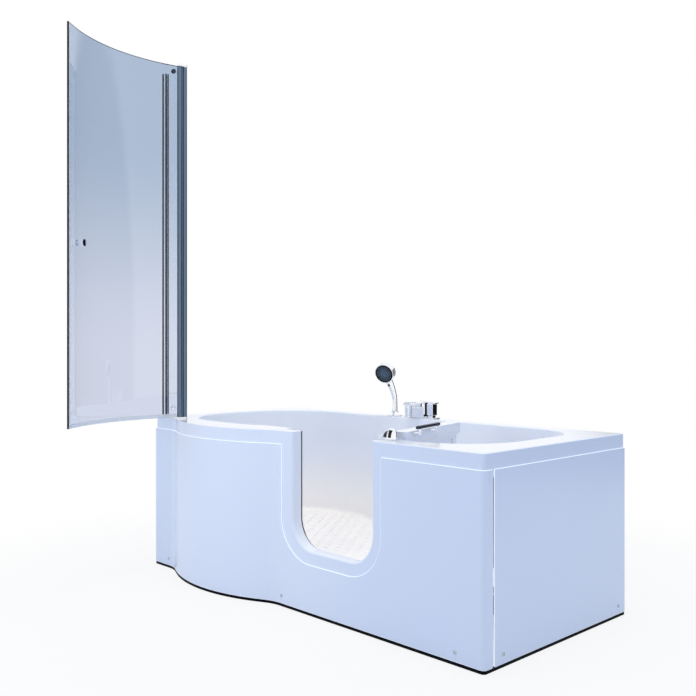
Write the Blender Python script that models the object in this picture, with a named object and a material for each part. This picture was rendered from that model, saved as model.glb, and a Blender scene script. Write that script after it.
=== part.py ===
"""A shower bath with an inward door, deck taps, a hand shower and a swinging glass screen.

Metres, +Z up. The origin is on the floor under the middle of the bath. +X runs along the
bath to its panelled end, -Y is the front with the door, and the wall side is +Y.
"""

import math

import bmesh
import bpy
from mathutils import Matrix, Vector

for item in list(bpy.data.objects):
    bpy.data.objects.remove(item, do_unlink=True)

# Clearances and the overrun of every cut
gap = 0.0003
overrun = 0.02
flush_step = 0.0002

# Bath: overall sizes and the shell's wall
bath_length = 1.700
bath_width = 0.780
rim_height = 0.616
shell_wall = 0.005
skirt_depth = 0.070
rim_edge_radius = 0.004
rim_lip_radius = 0.008
wall_corner_radius = 0.007
front_corner_radius = 0.010

# Bath: the bulge of the shower end, an arc between two blends
bulge_centre_share = -0.23059
bulge_half_width_share = 0.18941
bulge_apex = 0.146
bulge_round = 0.280
bulge_left_blend = 0.030
bulge_right_blend = 0.035

# Basin: rim widths, the bay at the shower end and the slope of each wall
left_rim_width = 0.050
back_rim_width = 0.070
right_rim_width = 0.113
front_rim_width = 0.093
bay_rim_width = 0.054
bay_right_share = -0.19412
bay_step_share = -0.12647
bay_back_share = -0.18824
bay_narrow_share = -0.07059
basin_left_round = 0.260
basin_back_left_round = 0.300
basin_right_round = 0.235
basin_back_right_round = 0.170
bay_round = 0.060
bay_back_round = 0.068
bay_narrow_round = 0.120
left_slope = 0.045
back_slope = 0.025
back_bath_slope = 0.103
front_slope = 0.032
right_slope = 0.137
floor_round_growth = 0.050
floor_height = 0.180
cove_radius = 0.020

# Door opening and its frame, seen from the front
opening_centre_share = 0.129706
opening_width = 0.383
sill_rise = 0.038
opening_round = 0.100
jamb_radius = 0.010
trim_left_width = 0.056
trim_right_width = 0.042
trim_drop = 0.046
trim_round = 0.150
frame_lap = 0.020

# Recess that the closed door lies in
recess_depth = 0.045
recess_reach = 0.170
recess_end_gap = 0.064
recess_floor_step = 0.002
recess_round = 0.020

# Gasket around the opening
gasket_width = 0.004
gasket_depth = 0.005
gasket_setback = 0.0005
gasket_proud = 0.0005

# Door leaf, hinged inside the right jamb
leaf_lap = 0.029
hinge_setback = 0.028
leaf_thickness = 0.038
leaf_seal_gap = 0.001
leaf_drop = 0.022
leaf_round = 0.120
leaf_rise = 0.024
leaf_open_angle = math.radians(76)
band_height = 0.040
band_flare = 0.015
band_inset = 0.0005
band_edge = 0.003
band_hinge_gap = 0.030
band_under_drop = 0.012
leaf_panel_border = 0.030
leaf_panel_foot = 0.040
leaf_panel_rim_gap = 0.032
leaf_panel_depth = 0.004
leaf_panel_round = 0.090
knuckle_clearance = 0.004
rod_radius = 0.006
rod_end_inset = 0.004
block_height = 0.040
block_radius = 0.0155
block_arm_width = 0.012
low_block_rise = 0.040
high_block_drop = 0.076
notch_gap = 0.0005
notch_extra = 0.002
hinge_wall_gap = 0.004

# Handle bar on the door's inner top edge
handle_start = 0.213
handle_length = 0.160
handle_radius = 0.006
handle_standoff = 0.020
handle_post_radius = 0.0045
handle_riser_radius = 0.005
handle_post_inset = 0.020
handle_rise = 0.012
handle_foot_drop = 0.009

# Lock lever on the top of the hinge knuckle
lever_hub_radius = 0.0185
lever_length = 0.059
lever_height = 0.033
lever_tip_radius = 0.004
lever_lift = 0.0045
lever_foot_radius = 0.017
lever_hub_shares = (-0.98, -0.85, -0.6, -0.25)
lever_arm_shares = (0.1, 0.35, 0.6, 0.82, 0.98)

# Panels, floor seal and their fixings
panel_thickness = 0.0035
panel_drop = 0.047
panel_bottom = 0.010
panel_return = 0.0385
panel_joint = 0.005
seal_setback = 0.001
seal_width = 0.010
seal_end_inset = 0.002
screw_z = 0.038
left_screw_inset = 0.097
right_screw_inset = 0.100
front_end_screw_inset = 0.086
back_end_screw_inset = 0.045
screw_head_radius = 0.006
screw_head_height = 0.002
screw_shank_radius = 0.0025
screw_length = 0.012
bracket_width = 0.024
bracket_thickness = 0.003
bracket_foot = 0.018
bracket_lap = 0.030

# Underframe of square tube, with levelling feet
tube_size = 0.025
tube_wall = 0.002
rail_side_inset = 0.190
rail_end_inset = 0.050
bar_end_inset = 0.030
bar_shares = (-0.34375, 0.0, 0.3)
end_bar_inset = 0.070
foot_inset = 0.100
pad_radius = 0.022
pad_height = 0.010
pad_neck_radius = 0.012
stem_radius = 0.005
foot_nut_radius = 0.0095
foot_nut_height = 0.008

# Waste in the basin floor, trap and outlet pipe
waste_share = 0.11765
waste_hole_radius = 0.026
waste_flange_radius = 0.035
waste_flange_height = 0.0025
waste_sleeve_wall = 0.003
waste_sleeve_length = 0.034
waste_bridge_size = 0.005
waste_bridge_drop = 0.020
waste_hub_radius = 0.008
plug_radius = 0.030
plug_edge = 0.002
plug_dome = 0.005
plug_dome_radius = 0.018
plug_stem_radius = 0.004
plug_stem_length = 0.034
trap_flange_radius = 0.036
trap_flange_height = 0.004
trap_neck_radius = 0.031
trap_neck_length = 0.030
trap_radius = 0.042
trap_depth = 0.130
trap_wall = 0.003
outlet_rise = 0.033
outlet_radius = 0.020
outlet_reach = 0.070
outlet_overlap = 0.025
inlet_rise = 0.063
inlet_radius = 0.0125
inlet_reach = 0.066
pipe_wall = 0.002
pipe_back_inset = 0.010

# Overflow on the sloping right end of the basin
overflow_drop = 0.116
overflow_hole_radius = 0.016
knob_radius = 0.034
knob_height = 0.012
knob_edge = 0.003
knob_grip_width = 0.008
knob_grip_height = 0.006
knob_stem_radius = 0.005
cup_flange_radius = 0.027
cup_flange_height = 0.004
cup_radius = 0.020
cup_depth = 0.036
cup_wall = 0.003
overflow_pipe_radius = 0.0102
overflow_bend = 0.050

# Deck line of the taps, the holes for their tails and the backing plate under the deck
deck_setback = 0.035
tail_radius = 0.009
tail_length = 0.042
deck_plate_end = 0.030
deck_plate_width = 0.044
deck_plate_thickness = 0.006

# Hand shower and its holder
shower_from_spout = 0.142
holder_radius = 0.031
holder_top_radius = 0.0155
holder_height = 0.020
holder_lip = 0.003
holder_tail_radius = 0.0125
spigot_radius = 0.010
spigot_length = 0.034
grip_radius = 0.0115
grip_middle_radius = 0.0105
grip_neck_radius = 0.0185
grip_straight = 0.044
head_forward = 0.045
head_left = 0.020
head_rise = 0.177
head_radius = 0.042
head_depth = 0.042
head_rim = 0.028
head_back_radius_shares = (0.3, 0.72, 0.94)
head_back_depth_shares = (1.0, 0.93, 0.8)
neck_setback = 0.022
neck_drop = 0.020
neck_bend_share = 0.35
face_recess = 0.006
face_ring_width = 0.0055
face_ring_proud = 0.001
face_boss_radius = 0.010
face_boss_height = 0.0008
head_facing = Vector((0.326, -0.882, -0.344)).normalized()
button_radius = 0.005
button_depth = 0.004
button_proud = 0.0018
button_travel = 0.0012
button_rise = 0.126

# Diverter, spout and mixer
diverter_from_spout = 0.061
diverter_base_radius = 0.020
diverter_base_height = 0.006
diverter_radius = 0.018
diverter_top = 0.064
diverter_edge = 0.003
diverter_pin_radius = 0.003
diverter_pin_length = 0.012
diverter_pin_drop = 0.012
spout_share = -0.02353
spout_width = 0.064
spout_body_depth = 0.030
spout_height = 0.064
spout_reach = 0.052
spout_lip = 0.012
spout_channel_wall = 0.005
spout_channel_depth = 0.006
mixer_from_spout = 0.0644
mixer_plate = 0.046
mixer_plate_height = 0.005
mixer_neck = 0.022
mixer_neck_top = 0.0137
mixer_block_size = 0.030
mixer_block_top = 0.0605
mixer_bevel = 0.002
lever_slab_length = 0.080
lever_slab_width = 0.026
lever_slab_thickness = 0.006
lever_slab_rise = 0.007
lever_slab_back = 0.010

# Screen: fixed part against the wall and its pivot post
screen_setback = 0.035
screen_height = 1.434
wall_profile_width = 0.024
wall_profile_depth = 0.024
wall_profile_wall = 0.003
wall_profile_extra = 0.005
glass_thickness = 0.006
post_inset = 0.155
post_radius = 0.010
post_wall = 0.0015
glass_in_profile = 0.012

# Screen: foot, top cap and the swinging glass on its own axis in front of the post
swing_right_of_post = 0.0015
swing_forward = 0.025
swing_radius = 0.0105
swing_wall = 0.002
swing_glass_gap = 0.0005
swing_seal_gap = 0.0035
cap_radius = 0.011
cap_height = 0.010
foot_plate_height = 0.0055
pin_length = 0.014
post_pin_length = 0.012
swing_chord = 0.568
swing_sagitta = 0.070
swing_open_angle = math.radians(75)
glass_rise = 0.0205
bottom_seal_width = 0.009
bottom_seal_depth = 0.014
edge_seal_width = 0.008
edge_seal_length = 0.012
glass_knob_from_edge = 0.077
glass_knob_rise = 0.6685
glass_knob_radius = 0.013
glass_knob_height = 0.016
glass_knob_neck_radius = 0.007
glass_knob_neck = 0.006
glass_knob_bolt_radius = 0.005
clamp_from_axis = 0.026
clamp_radius = 0.009
clamp_height = 0.004
clamp_bolt_radius = 0.003
clamp_inset = 0.024

# Derived planes and lines
front_y = -bath_width / 2
back_y = bath_width / 2
left_x = -bath_length / 2
right_x = bath_length / 2
deck_under = rim_height - shell_wall
panel_top = rim_height - panel_drop
recess_y = front_y + recess_depth
gasket_front = recess_y - gasket_setback - gasket_depth
gasket_back = gasket_width - gasket_proud
bulge_centre_x = bath_length * bulge_centre_share
bulge_half_width = bath_length * bulge_half_width_share
opening_centre = bath_length * opening_centre_share
opening_left = opening_centre - opening_width / 2
opening_right = opening_centre + opening_width / 2
sill_height = floor_height + sill_rise
trim_left = opening_left - trim_left_width
trim_right = opening_right + trim_right_width
trim_bottom = sill_height - trim_drop
hinge_x = opening_right + hinge_setback
hinge_y = recess_y + leaf_seal_gap + leaf_thickness / 2
leaf_left = opening_left - leaf_lap
leaf_outer_y = hinge_y - leaf_thickness / 2
leaf_inner_y = hinge_y + leaf_thickness / 2
leaf_top = rim_height + leaf_rise
leaf_bottom = sill_height - leaf_drop
leaf_panel_top = rim_height - leaf_panel_rim_gap
knuckle_bottom = leaf_bottom + leaf_round + knuckle_clearance
low_block_z = knuckle_bottom + low_block_rise
high_block_z = rim_height - high_block_drop
recess_left = leaf_left - recess_end_gap
recess_right = hinge_x + leaf_thickness / 2 + hinge_wall_gap
floor_under = floor_height - shell_wall
rail_y = bath_width / 2 - rail_side_inset
rail_length = bath_length - 2 * rail_end_inset
bar_length = bath_width - 2 * bar_end_inset
end_bar_x = right_x - end_bar_inset
foot_x = rail_length / 2 - foot_inset
bar_top = floor_under - gap
bar_bottom = bar_top - tube_size
rail_top = bar_bottom - gap
rail_bottom = rail_top - tube_size
deck_top = rim_height + gap
front_screws_x = (left_x + left_screw_inset, trim_left, right_x - right_screw_inset)
end_screws_y = (front_y + front_end_screw_inset, back_y - back_end_screw_inset)
waste_x = bath_length * waste_share
trap_bottom = floor_under - trap_depth
outlet_z = trap_bottom + outlet_rise
inlet_z = trap_bottom + inlet_rise
overflow_z = rim_height - overflow_drop
deck_y = back_y - deck_setback
spout_x = bath_length * spout_share
shower_x = spout_x - shower_from_spout
diverter_x = spout_x - diverter_from_spout
mixer_x = spout_x + mixer_from_spout
head_height = rim_height + head_rise
button_z = rim_height + button_rise
screen_y = front_y + screen_setback
screen_top = rim_height + screen_height
post_x = left_x + post_inset
swing_x = post_x + swing_right_of_post
swing_y = screen_y - swing_forward
glass_bottom = rim_height + glass_rise
glass_knob_z = rim_height + glass_knob_rise


# Shapes
def rounded(corners, closed=True):
    """Plan points of corners (x, y, cut, steps), each rounded by an arc that starts a cut away."""
    points = []
    count = len(corners)
    for index, (x, y, cut, steps) in enumerate(corners):
        here = Vector((x, y))
        end_corner = not closed and index in (0, count - 1)
        if cut == 0 or end_corner:
            points.append(here)
            continue
        before, after = corners[index - 1], corners[(index + 1) % count]
        to_before = Vector(before[:2]) - here
        to_after = Vector(after[:2]) - here
        # Two cuts on a side that is too short for both share it
        size = min(1, to_before.length / (cut + before[2]), to_after.length / (cut + after[2])) * cut
        to_before.normalize()
        to_after.normalize()
        weight = math.cos(to_after.angle(-to_before) / 2)
        start = here + to_before * size
        end = here + to_after * size
        for step in range(steps + 1):
            t = step / steps
            parts = ((1 - t) ** 2, 2 * weight * t * (1 - t), t ** 2)
            points.append((start * parts[0] + here * parts[1] + end * parts[2]) / sum(parts))
    return points


def offset(points, distance, closed=True):
    """Moves plan points outward, square to the line, with mitred corners."""
    moved = []
    count = len(points)
    for index, here in enumerate(points):
        sides = []
        if closed or index > 0:
            sides.append((here - points[index - 1]).normalized())
        if closed or index < count - 1:
            sides.append((points[(index + 1) % count] - here).normalized())
        normals = [Vector((side.y, -side.x)) for side in sides]
        if len(normals) == 2:
            miter = (normals[0] + normals[1]) / (1 + normals[0].dot(normals[1]))
        else:
            miter = normals[0]
        moved.append(here + miter * distance)
    return moved


def strip(path, inner, outer):
    """Outline of a strip between two offsets of an open path."""
    return offset(path, outer, closed=False) + offset(path, inner, closed=False)[::-1]


def level(points, z):
    return [Vector((point.x, point.y, z)) for point in points]


def upright(points, y):
    return [Vector((point.x, y, point.y)) for point in points]


def sideways(points, x):
    return [Vector((x, point.x, point.y)) for point in points]


def make_object(name, mesh):
    item = bpy.data.objects.new(name, mesh)
    bpy.context.scene.collection.objects.link(item)
    return item


def loft(name, rings, looped=False):
    """Skins rings of equal count; the ends are capped unless the rings close on themselves."""
    shape = bmesh.new()
    rows = [[shape.verts.new(point) for point in ring] for ring in rings]
    pairs = list(zip(rows, rows[1:]))
    if looped:
        pairs.append((rows[-1], rows[0]))
    for lower, upper in pairs:
        count = len(lower)
        for index in range(count):
            following = (index + 1) % count
            shape.faces.new((lower[index], lower[following], upper[following], upper[index]))
    if not looped:
        shape.faces.new(rows[0][::-1])
        shape.faces.new(rows[-1])
    bmesh.ops.remove_doubles(shape, verts=shape.verts, dist=gap / 100)
    bmesh.ops.recalc_face_normals(shape, faces=shape.faces)
    mesh = bpy.data.meshes.new(name)
    shape.to_mesh(mesh)
    shape.free()
    return make_object(name, mesh)


def prism_up(name, points, bottom, top):
    return loft(name, [level(points, bottom), level(points, top)])


def prism_back(name, points, front, back):
    return loft(name, [upright(points, front), upright(points, back)])


def prism_along(name, points, left, right):
    return loft(name, [sideways(points, left), sideways(points, right)])


def box(name, low, high):
    corners = [Vector((low[0], low[1])), Vector((high[0], low[1])),
               Vector((high[0], high[1])), Vector((low[0], high[1]))]
    return prism_up(name, corners, low[2], high[2])


def basis(axis):
    """Two directions square to an axis."""
    side = Vector((0, 0, 1)).cross(axis)
    if side.length < 0.5:
        side = Vector((1, 0, 0))
    side.normalize()
    return side, axis.cross(side)


def circle(centre, radius, axis, sides):
    across, along = basis(axis)
    turns = [2 * math.pi * index / sides for index in range(sides)]
    return [centre + (across * math.cos(turn) + along * math.sin(turn)) * radius for turn in turns]


def turned(name, centre, profile, sides=24, axis=Vector((0, 0, 1)), looped=False):
    """A turned solid from (radius, height) pairs along an axis; a looped profile is a ring."""
    rings = [circle(centre + axis * height, radius, axis, sides) for radius, height in profile]
    if looped:
        return loft(name, rings, looped=True)
    return loft(name, rings)


def tube(name, centre, outer, inner, bottom, top, sides=24, axis=Vector((0, 0, 1))):
    profile = [(outer, bottom), (outer, top), (inner, top), (inner, bottom)]
    return turned(name, centre, profile, sides, axis, looped=True)


def rod(name, centre, radius, bottom, top, sides=24, axis=Vector((0, 0, 1))):
    return turned(name, centre, [(radius, bottom), (radius, top)], sides, axis)


def swept(name, path, radii, sides=16, bore=0):
    """A round bar along a path, or a pipe where it has a bore."""
    rings, holes = [], []
    across = None
    for index, here in enumerate(path):
        before = path[max(index - 1, 0)]
        after = path[min(index + 1, len(path) - 1)]
        along = (after - before).normalized()
        if across is None:
            across = basis(along)[0]
        across = (across - along * across.dot(along)).normalized()
        third = along.cross(across)
        radius = radii[index] if isinstance(radii, list) else radii
        turns = [2 * math.pi * step / sides for step in range(sides)]
        arms = [across * math.cos(turn) + third * math.sin(turn) for turn in turns]
        rings.append([here + arm * radius for arm in arms])
        holes.append([here + arm * bore for arm in arms])
    if bore:
        return loft(name, rings + holes[::-1], looped=True)
    return loft(name, rings)


def bend(start, corner, end, radius, steps):
    """Points of a bend around a corner between two straight runs."""
    to_start = (start - corner).normalized()
    to_end = (end - corner).normalized()
    first = corner + to_start * radius
    last = corner + to_end * radius
    weight = math.cos(to_end.angle(-to_start) / 2)
    points = []
    for step in range(steps + 1):
        t = step / steps
        parts = ((1 - t) ** 2, 2 * weight * t * (1 - t), t ** 2)
        points.append((first * parts[0] + corner * parts[1] + last * parts[2]) / sum(parts))
    return points


def combine(item, tools, operation):
    for tool in tools:
        change = item.modifiers.new(operation, "BOOLEAN")
        change.operation = operation
        change.solver = "EXACT"
        change.object = tool
        seen = bpy.context.evaluated_depsgraph_get()
        mesh = bpy.data.meshes.new_from_object(item.evaluated_get(seen))
        item.modifiers.clear()
        item.data = mesh
        bpy.data.objects.remove(tool, do_unlink=True)
    return item


def cut(item, *tools):
    return combine(item, tools, "DIFFERENCE")


def unite(item, *tools):
    return combine(item, tools, "UNION")


def material(name, colour, roughness, metallic=0.0, transmission=0.0):
    finish = bpy.data.materials.new(name)
    finish.use_nodes = True
    shader = finish.node_tree.nodes["Principled BSDF"]
    shader.inputs["Base Color"].default_value = (*colour, 1.0)
    shader.inputs["Roughness"].default_value = roughness
    shader.inputs["Metallic"].default_value = metallic
    shader.inputs["Transmission Weight"].default_value = transmission
    finish.diffuse_color = (*colour, 1.0)
    return finish


def finish(item, look, origin=None, smooth_angle=30):
    """Gives a piece its material, smooth round faces and its origin."""
    item.data.materials.clear()
    item.data.materials.append(look.copy())
    item.data.materials[0].name = item.name
    item.data.shade_smooth()
    item.data.set_sharp_from_angle(angle=math.radians(smooth_angle))
    if origin is not None:
        item.data.transform(Matrix.Translation(-origin))
        item.location = origin
    return item


def carry(parent, children):
    """Parents pieces to the piece that moves them, where they stand."""
    bpy.context.view_layer.update()
    for child in children:
        child.parent = parent
        child.matrix_parent_inverse = parent.matrix_world.inverted()


acrylic = material("acrylic", (0.80, 0.85, 0.95), 0.18)
panel_acrylic = material("panel acrylic", (0.62, 0.70, 0.88), 0.22)
chrome = material("chrome", (0.85, 0.87, 0.90), 0.06, metallic=1.0)
satin = material("satin aluminium", (0.45, 0.52, 0.62), 0.25, metallic=1.0)
clear_glass = material("clear glass", (0.72, 0.80, 0.90), 0.03, transmission=0.9)
clear_seal = material("clear seal", (0.70, 0.76, 0.82), 0.35, transmission=0.5)
grey_rubber = material("grey rubber", (0.16, 0.17, 0.19), 0.7)
black_rubber = material("black rubber", (0.01, 0.012, 0.015), 0.6)
dark_face = material("dark spray face", (0.03, 0.06, 0.09), 0.35)
black_plastic = material("black plastic", (0.01, 0.01, 0.012), 0.3)
steel = material("galvanised steel", (0.48, 0.50, 0.52), 0.45, metallic=1.0)
white_plastic = material("white plastic", (0.75, 0.76, 0.77), 0.4)

# Bath shell: deck, skirt, basin and the plate with a round bead about the door opening
bath_outline = rounded([
    (left_x, front_y, wall_corner_radius, 3),
    (bulge_centre_x - bulge_half_width, front_y, bulge_left_blend, 4),
    (bulge_centre_x, front_y - bulge_apex, bulge_round, 16),
    (bulge_centre_x + bulge_half_width, front_y, bulge_right_blend, 4),
    (right_x, front_y, front_corner_radius, 5),
    (right_x, back_y, wall_corner_radius, 3),
    (left_x, back_y, wall_corner_radius, 3),
])


def basin_outline(fall):
    """The basin's wall in plan, from the rim (0) to the floor (1)."""
    left = left_x + left_rim_width + left_slope * fall
    right = right_x - right_rim_width - right_slope * fall
    bay_front = front_y + bay_rim_width + front_slope * fall
    front = front_y + front_rim_width + front_slope * fall
    bay_back = back_y - back_rim_width - back_slope * fall
    back = back_y - back_rim_width - back_bath_slope * fall
    growth = floor_round_growth * fall
    bay_right, bay_step = bath_length * bay_right_share, bath_length * bay_step_share
    bay_end, bay_narrow = bath_length * bay_back_share, bath_length * bay_narrow_share
    # The right end stays flat over the width of the overflow knob
    front_round = min(basin_right_round - growth, -front - knob_radius)
    back_round = min(basin_back_right_round - growth / 2, back - knob_radius)
    return rounded([
        (left, bay_front, basin_left_round - growth / 2, 8),
        (bay_right, bay_front, bay_round, 3),
        (bay_step, front, bay_round, 3),
        (right, front, front_round, 8),
        (right, back, back_round, 6),
        (bay_narrow, back, bay_narrow_round, 4),
        (bay_end, bay_back, bay_back_round, 3),
        (left, bay_back, basin_back_left_round + growth, 9),
    ])


def basin_rings(thickness, top):
    """Rings of the basin from its floor up, grown outward by a thickness."""
    radius = cove_radius + thickness
    rings = []
    for step in range(5):
        angle = math.pi / 2 * step / 4
        inset = -cove_radius + radius * math.sin(angle)
        ring = offset(basin_outline(1), inset)
        rings.append(level(ring, floor_height + cove_radius - radius * math.cos(angle)))
    upper = basin_outline(0)
    if thickness:
        rings.append(level(offset(upper, thickness), top))
        return rings
    for step in range(4):
        angle = math.pi / 2 * step / 3
        spread = rim_lip_radius * (1 - math.cos(angle))
        height = rim_height - rim_lip_radius + rim_lip_radius * math.sin(angle)
        rings.append(level(offset(upper, spread), height))
    rings.append(level(offset(upper, rim_lip_radius), top))
    return rings


def door_outline(left, right, bottom, round_cut, top, steps=6):
    """A U seen from the front, from its top left corner to its top right corner."""
    return rounded([(left, top, 0, 0), (left, bottom, round_cut, steps),
                    (right, bottom, round_cut, steps), (right, top, 0, 0)])


slab_rings = [level(bath_outline, rim_height - skirt_depth)]
for step in range(4):
    angle = math.pi / 2 * step / 3
    inset = -rim_edge_radius * (1 - math.cos(angle))
    height = rim_height - rim_edge_radius + rim_edge_radius * math.sin(angle)
    slab_rings.append(level(offset(bath_outline, inset), height))
bath_shell = loft("bath_shell", slab_rings)
cut(bath_shell, prism_up("hollow", offset(bath_outline, -shell_wall),
                         rim_height - skirt_depth - overrun, deck_under))

inside_deck = deck_under + shell_wall / 2
frame_outline = door_outline(trim_left - frame_lap, trim_right + frame_lap,
                             trim_bottom - frame_lap, trim_round, inside_deck)
opening = door_outline(opening_left, opening_right, sill_height, opening_round, inside_deck)
frame_front = front_y + flush_step
frame_top = deck_under - gap
tunnel = door_outline(opening_left - shell_wall, opening_right + shell_wall,
                      sill_height - shell_wall, opening_round, frame_top)
bead_width = jamb_radius + shell_wall
bead = door_outline(opening_left - bead_width, opening_right + bead_width,
                    sill_height - bead_width, opening_round, inside_deck)
recess_bottom = floor_height + recess_floor_step
recess_outer = door_outline(recess_left - shell_wall, recess_right + shell_wall,
                            recess_bottom - shell_wall, recess_round, frame_top)
recess_end = front_y + recess_reach + shell_wall
bead_end = front_y + bead_width
unite(bath_shell,
      loft("basin", basin_rings(shell_wall, inside_deck)),
      prism_back("frame_plate", frame_outline, frame_front, frame_front + shell_wall),
      prism_back("bead", bead, frame_front + flush_step, bead_end))

above = rim_height + overrun
opening_outline = door_outline(opening_left, opening_right, sill_height, opening_round, above)
recess_cut = door_outline(recess_left, recess_right, recess_bottom, recess_round, above)


def opening_space():
    """The way through the door: the jambs and the sill are rounded toward the front."""
    rings = [upright(offset(opening_outline, jamb_radius), front_y - overrun)]
    for step in range(4):
        angle = math.pi / 2 * step / 3
        spread = jamb_radius * (1 - math.sin(angle))
        depth = front_y + jamb_radius * (1 - math.cos(angle))
        rings.append(upright(offset(opening_outline, spread), depth))
    rings.append(upright(opening_outline, recess_y + shell_wall))
    return loft("opening_space", rings)


def gasket_space():
    """The rebate around the opening that the gasket sits in."""
    return prism_back("gasket_space", strip(opening_outline, -gasket_width, gasket_back + gap),
                      gasket_front - gap, recess_y + gasket_depth)


wall_drop = rim_height - rim_lip_radius - floor_height - cove_radius
wall_up = Vector((right_slope, 0, wall_drop)).normalized()
wall_in = Vector((-wall_up.z, 0, wall_up.x))
overflow_fall = (rim_height - rim_lip_radius - overflow_z) / wall_drop
overflow_x = right_x - right_rim_width - right_slope * overflow_fall
overflow_centre = Vector((overflow_x, 0, overflow_z))
waste_centre = Vector((waste_x, 0, floor_height))
shower_centre = Vector((shower_x, deck_y, 0))
diverter_centre = Vector((diverter_x, deck_y, 0))
spout_centre = Vector((spout_x, deck_y, 0))
mixer_centre = Vector((mixer_x, deck_y, 0))

cut(bath_shell,
    loft("basin_space", basin_rings(0, above)),
    prism_back("recess_space", recess_cut, recess_y, recess_end),
    prism_back("frame_space", offset(recess_outer, gap), recess_y - shell_wall - gap, recess_end + gap),
    gasket_space(), opening_space(),
    rod("waste_hole", waste_centre, waste_hole_radius, -overrun, overrun, 24),
    rod("overflow_hole", overflow_centre, overflow_hole_radius, -overrun, overrun, 20, wall_in),
    rod("shower_hole", shower_centre, holder_tail_radius + gap, deck_under - overrun, above, 20))
for centre in (diverter_centre, spout_centre, mixer_centre):
    cut(bath_shell, rod("tail_hole", centre, tail_radius + gap, deck_under - overrun, above, 16))
finish(bath_shell, acrylic)

# Door frame, bonded behind the opening: a tunnel and the box that the closed door lies in
door_frame = prism_back("door_frame", recess_outer, recess_y - shell_wall, recess_end)
unite(door_frame, prism_back("tunnel", tunnel, bead_end + gap, recess_y - flush_step))
cut(door_frame,
    loft("basin_space", basin_rings(0, above)),
    prism_back("recess_space", recess_cut, recess_y, recess_end + overrun),
    gasket_space(), opening_space())
finish(door_frame, acrylic)

# Gasket: a U strip in a rebate of the jambs and the sill, just in front of the closed door
gasket_path = door_outline(opening_left, opening_right, sill_height, opening_round,
                           rim_height - gap)
door_gasket = prism_back("door_gasket", strip(gasket_path, -gasket_proud, gasket_back),
                         gasket_front, recess_y - gasket_setback)
finish(door_gasket, grey_rubber)

# Panels that hang below the rim, with their screws and battens
front_path = rounded([
    (left_x, front_y, 0, 0),
    (bulge_centre_x - bulge_half_width, front_y, bulge_left_blend, 4),
    (bulge_centre_x, front_y - bulge_apex, bulge_round, 16),
    (bulge_centre_x + bulge_half_width, front_y, bulge_right_blend, 4),
    (right_x, front_y, front_corner_radius, 5),
    (right_x, front_y + panel_return, 0, 0),
], closed=False)
panel_foot = panel_bottom + gap
front_panel = prism_up("front_panel", strip(front_path, gap, gap + panel_thickness),
                       panel_foot, panel_top)
notch = door_outline(trim_left, trim_right, trim_bottom, trim_round, panel_top + overrun, 8)
cut(front_panel, prism_back("notch", notch, front_y - overrun, front_y + overrun))
end_joint_y = front_y + panel_return + panel_joint
end_panel = box("end_panel", (right_x + gap, end_joint_y, panel_foot),
                (right_x + gap + panel_thickness, back_y, panel_top))

# Fixing points: each has its place, the way out of the bath and the bar that carries it
fixings = [(Vector((x, front_y, screw_z)), Vector((0, -1, 0)), rail_bottom,
            front_y + rail_y - tube_size / 2) for x in front_screws_x]
fixings += [(Vector((right_x, y, screw_z)), Vector((1, 0, 0)), bar_bottom,
             right_x - end_bar_x - tube_size / 2) for y in end_screws_y]
screws, brackets = [], []
for number, (place, out, carrier, reach) in enumerate(fixings, 1):
    panel = front_panel if out.y else end_panel
    face = gap + panel_thickness
    hole_radius = screw_shank_radius + gap
    cut(panel, rod("screw_hole", place, hole_radius, -overrun, overrun, 12, out))
    seat = face + gap
    screws.append(turned(f"panel_screw_{number}", place, [
        (screw_shank_radius, face - screw_length), (screw_shank_radius, seat),
        (screw_head_radius, seat), (screw_head_radius, seat + screw_head_height / 2),
        (screw_head_radius / 2, seat + screw_head_height)], 12, out))
    side = Vector((0, 0, 1)).cross(out) * (bracket_width / 2)
    inward = abs(reach) + bracket_lap
    top = carrier - gap
    profile = [(0, bracket_foot), (0, top), (-inward, top), (-inward, top - bracket_thickness),
               (-bracket_thickness, top - bracket_thickness), (-bracket_thickness, bracket_foot)]
    base = Vector((place.x, place.y, 0))
    rings = [[base + side * sign + out * along + Vector((0, 0, z)) for along, z in profile]
             for sign in (-1, 1)]
    bracket = loft("bracket", rings)
    cut(bracket, rod("screw_hole", place, hole_radius, -overrun, overrun, 12, out))
    brackets.append(bracket)
front_count = len(front_screws_x)
rail_front_y = front_y + bath_width / 2 - rail_y - tube_size / 2
front_top = rail_bottom - gap - flush_step
end_top = bar_bottom - gap - flush_step
batten_slim = bracket_thickness - 2 * flush_step
front_batten = unite(brackets[0], *brackets[1:front_count], box(
    "front_strip", (front_screws_x[0], rail_front_y - bracket_lap, front_top - batten_slim),
    (front_screws_x[-1], rail_front_y, front_top)))
end_batten = unite(brackets[front_count], *brackets[front_count + 1:], box(
    "end_strip", (rail_length / 2 + gap, end_screws_y[0], end_top - batten_slim),
    (rail_length / 2 + gap + bracket_lap, end_screws_y[-1], end_top)))
front_batten.name = "front_batten"
end_batten.name = "end_batten"
finish(front_panel, panel_acrylic)
finish(end_panel, panel_acrylic)
finish(front_batten, steel)
finish(end_batten, steel)
for screw in screws:
    finish(screw, chrome)

seal_path = front_path[:-1] + [Vector((right_x, back_y - seal_end_inset))]
seal_outer = gap + panel_thickness - seal_setback
floor_seal = prism_up("floor_seal", strip(seal_path, seal_outer - seal_width, seal_outer),
                      0, panel_bottom)
finish(floor_seal, black_rubber)


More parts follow.
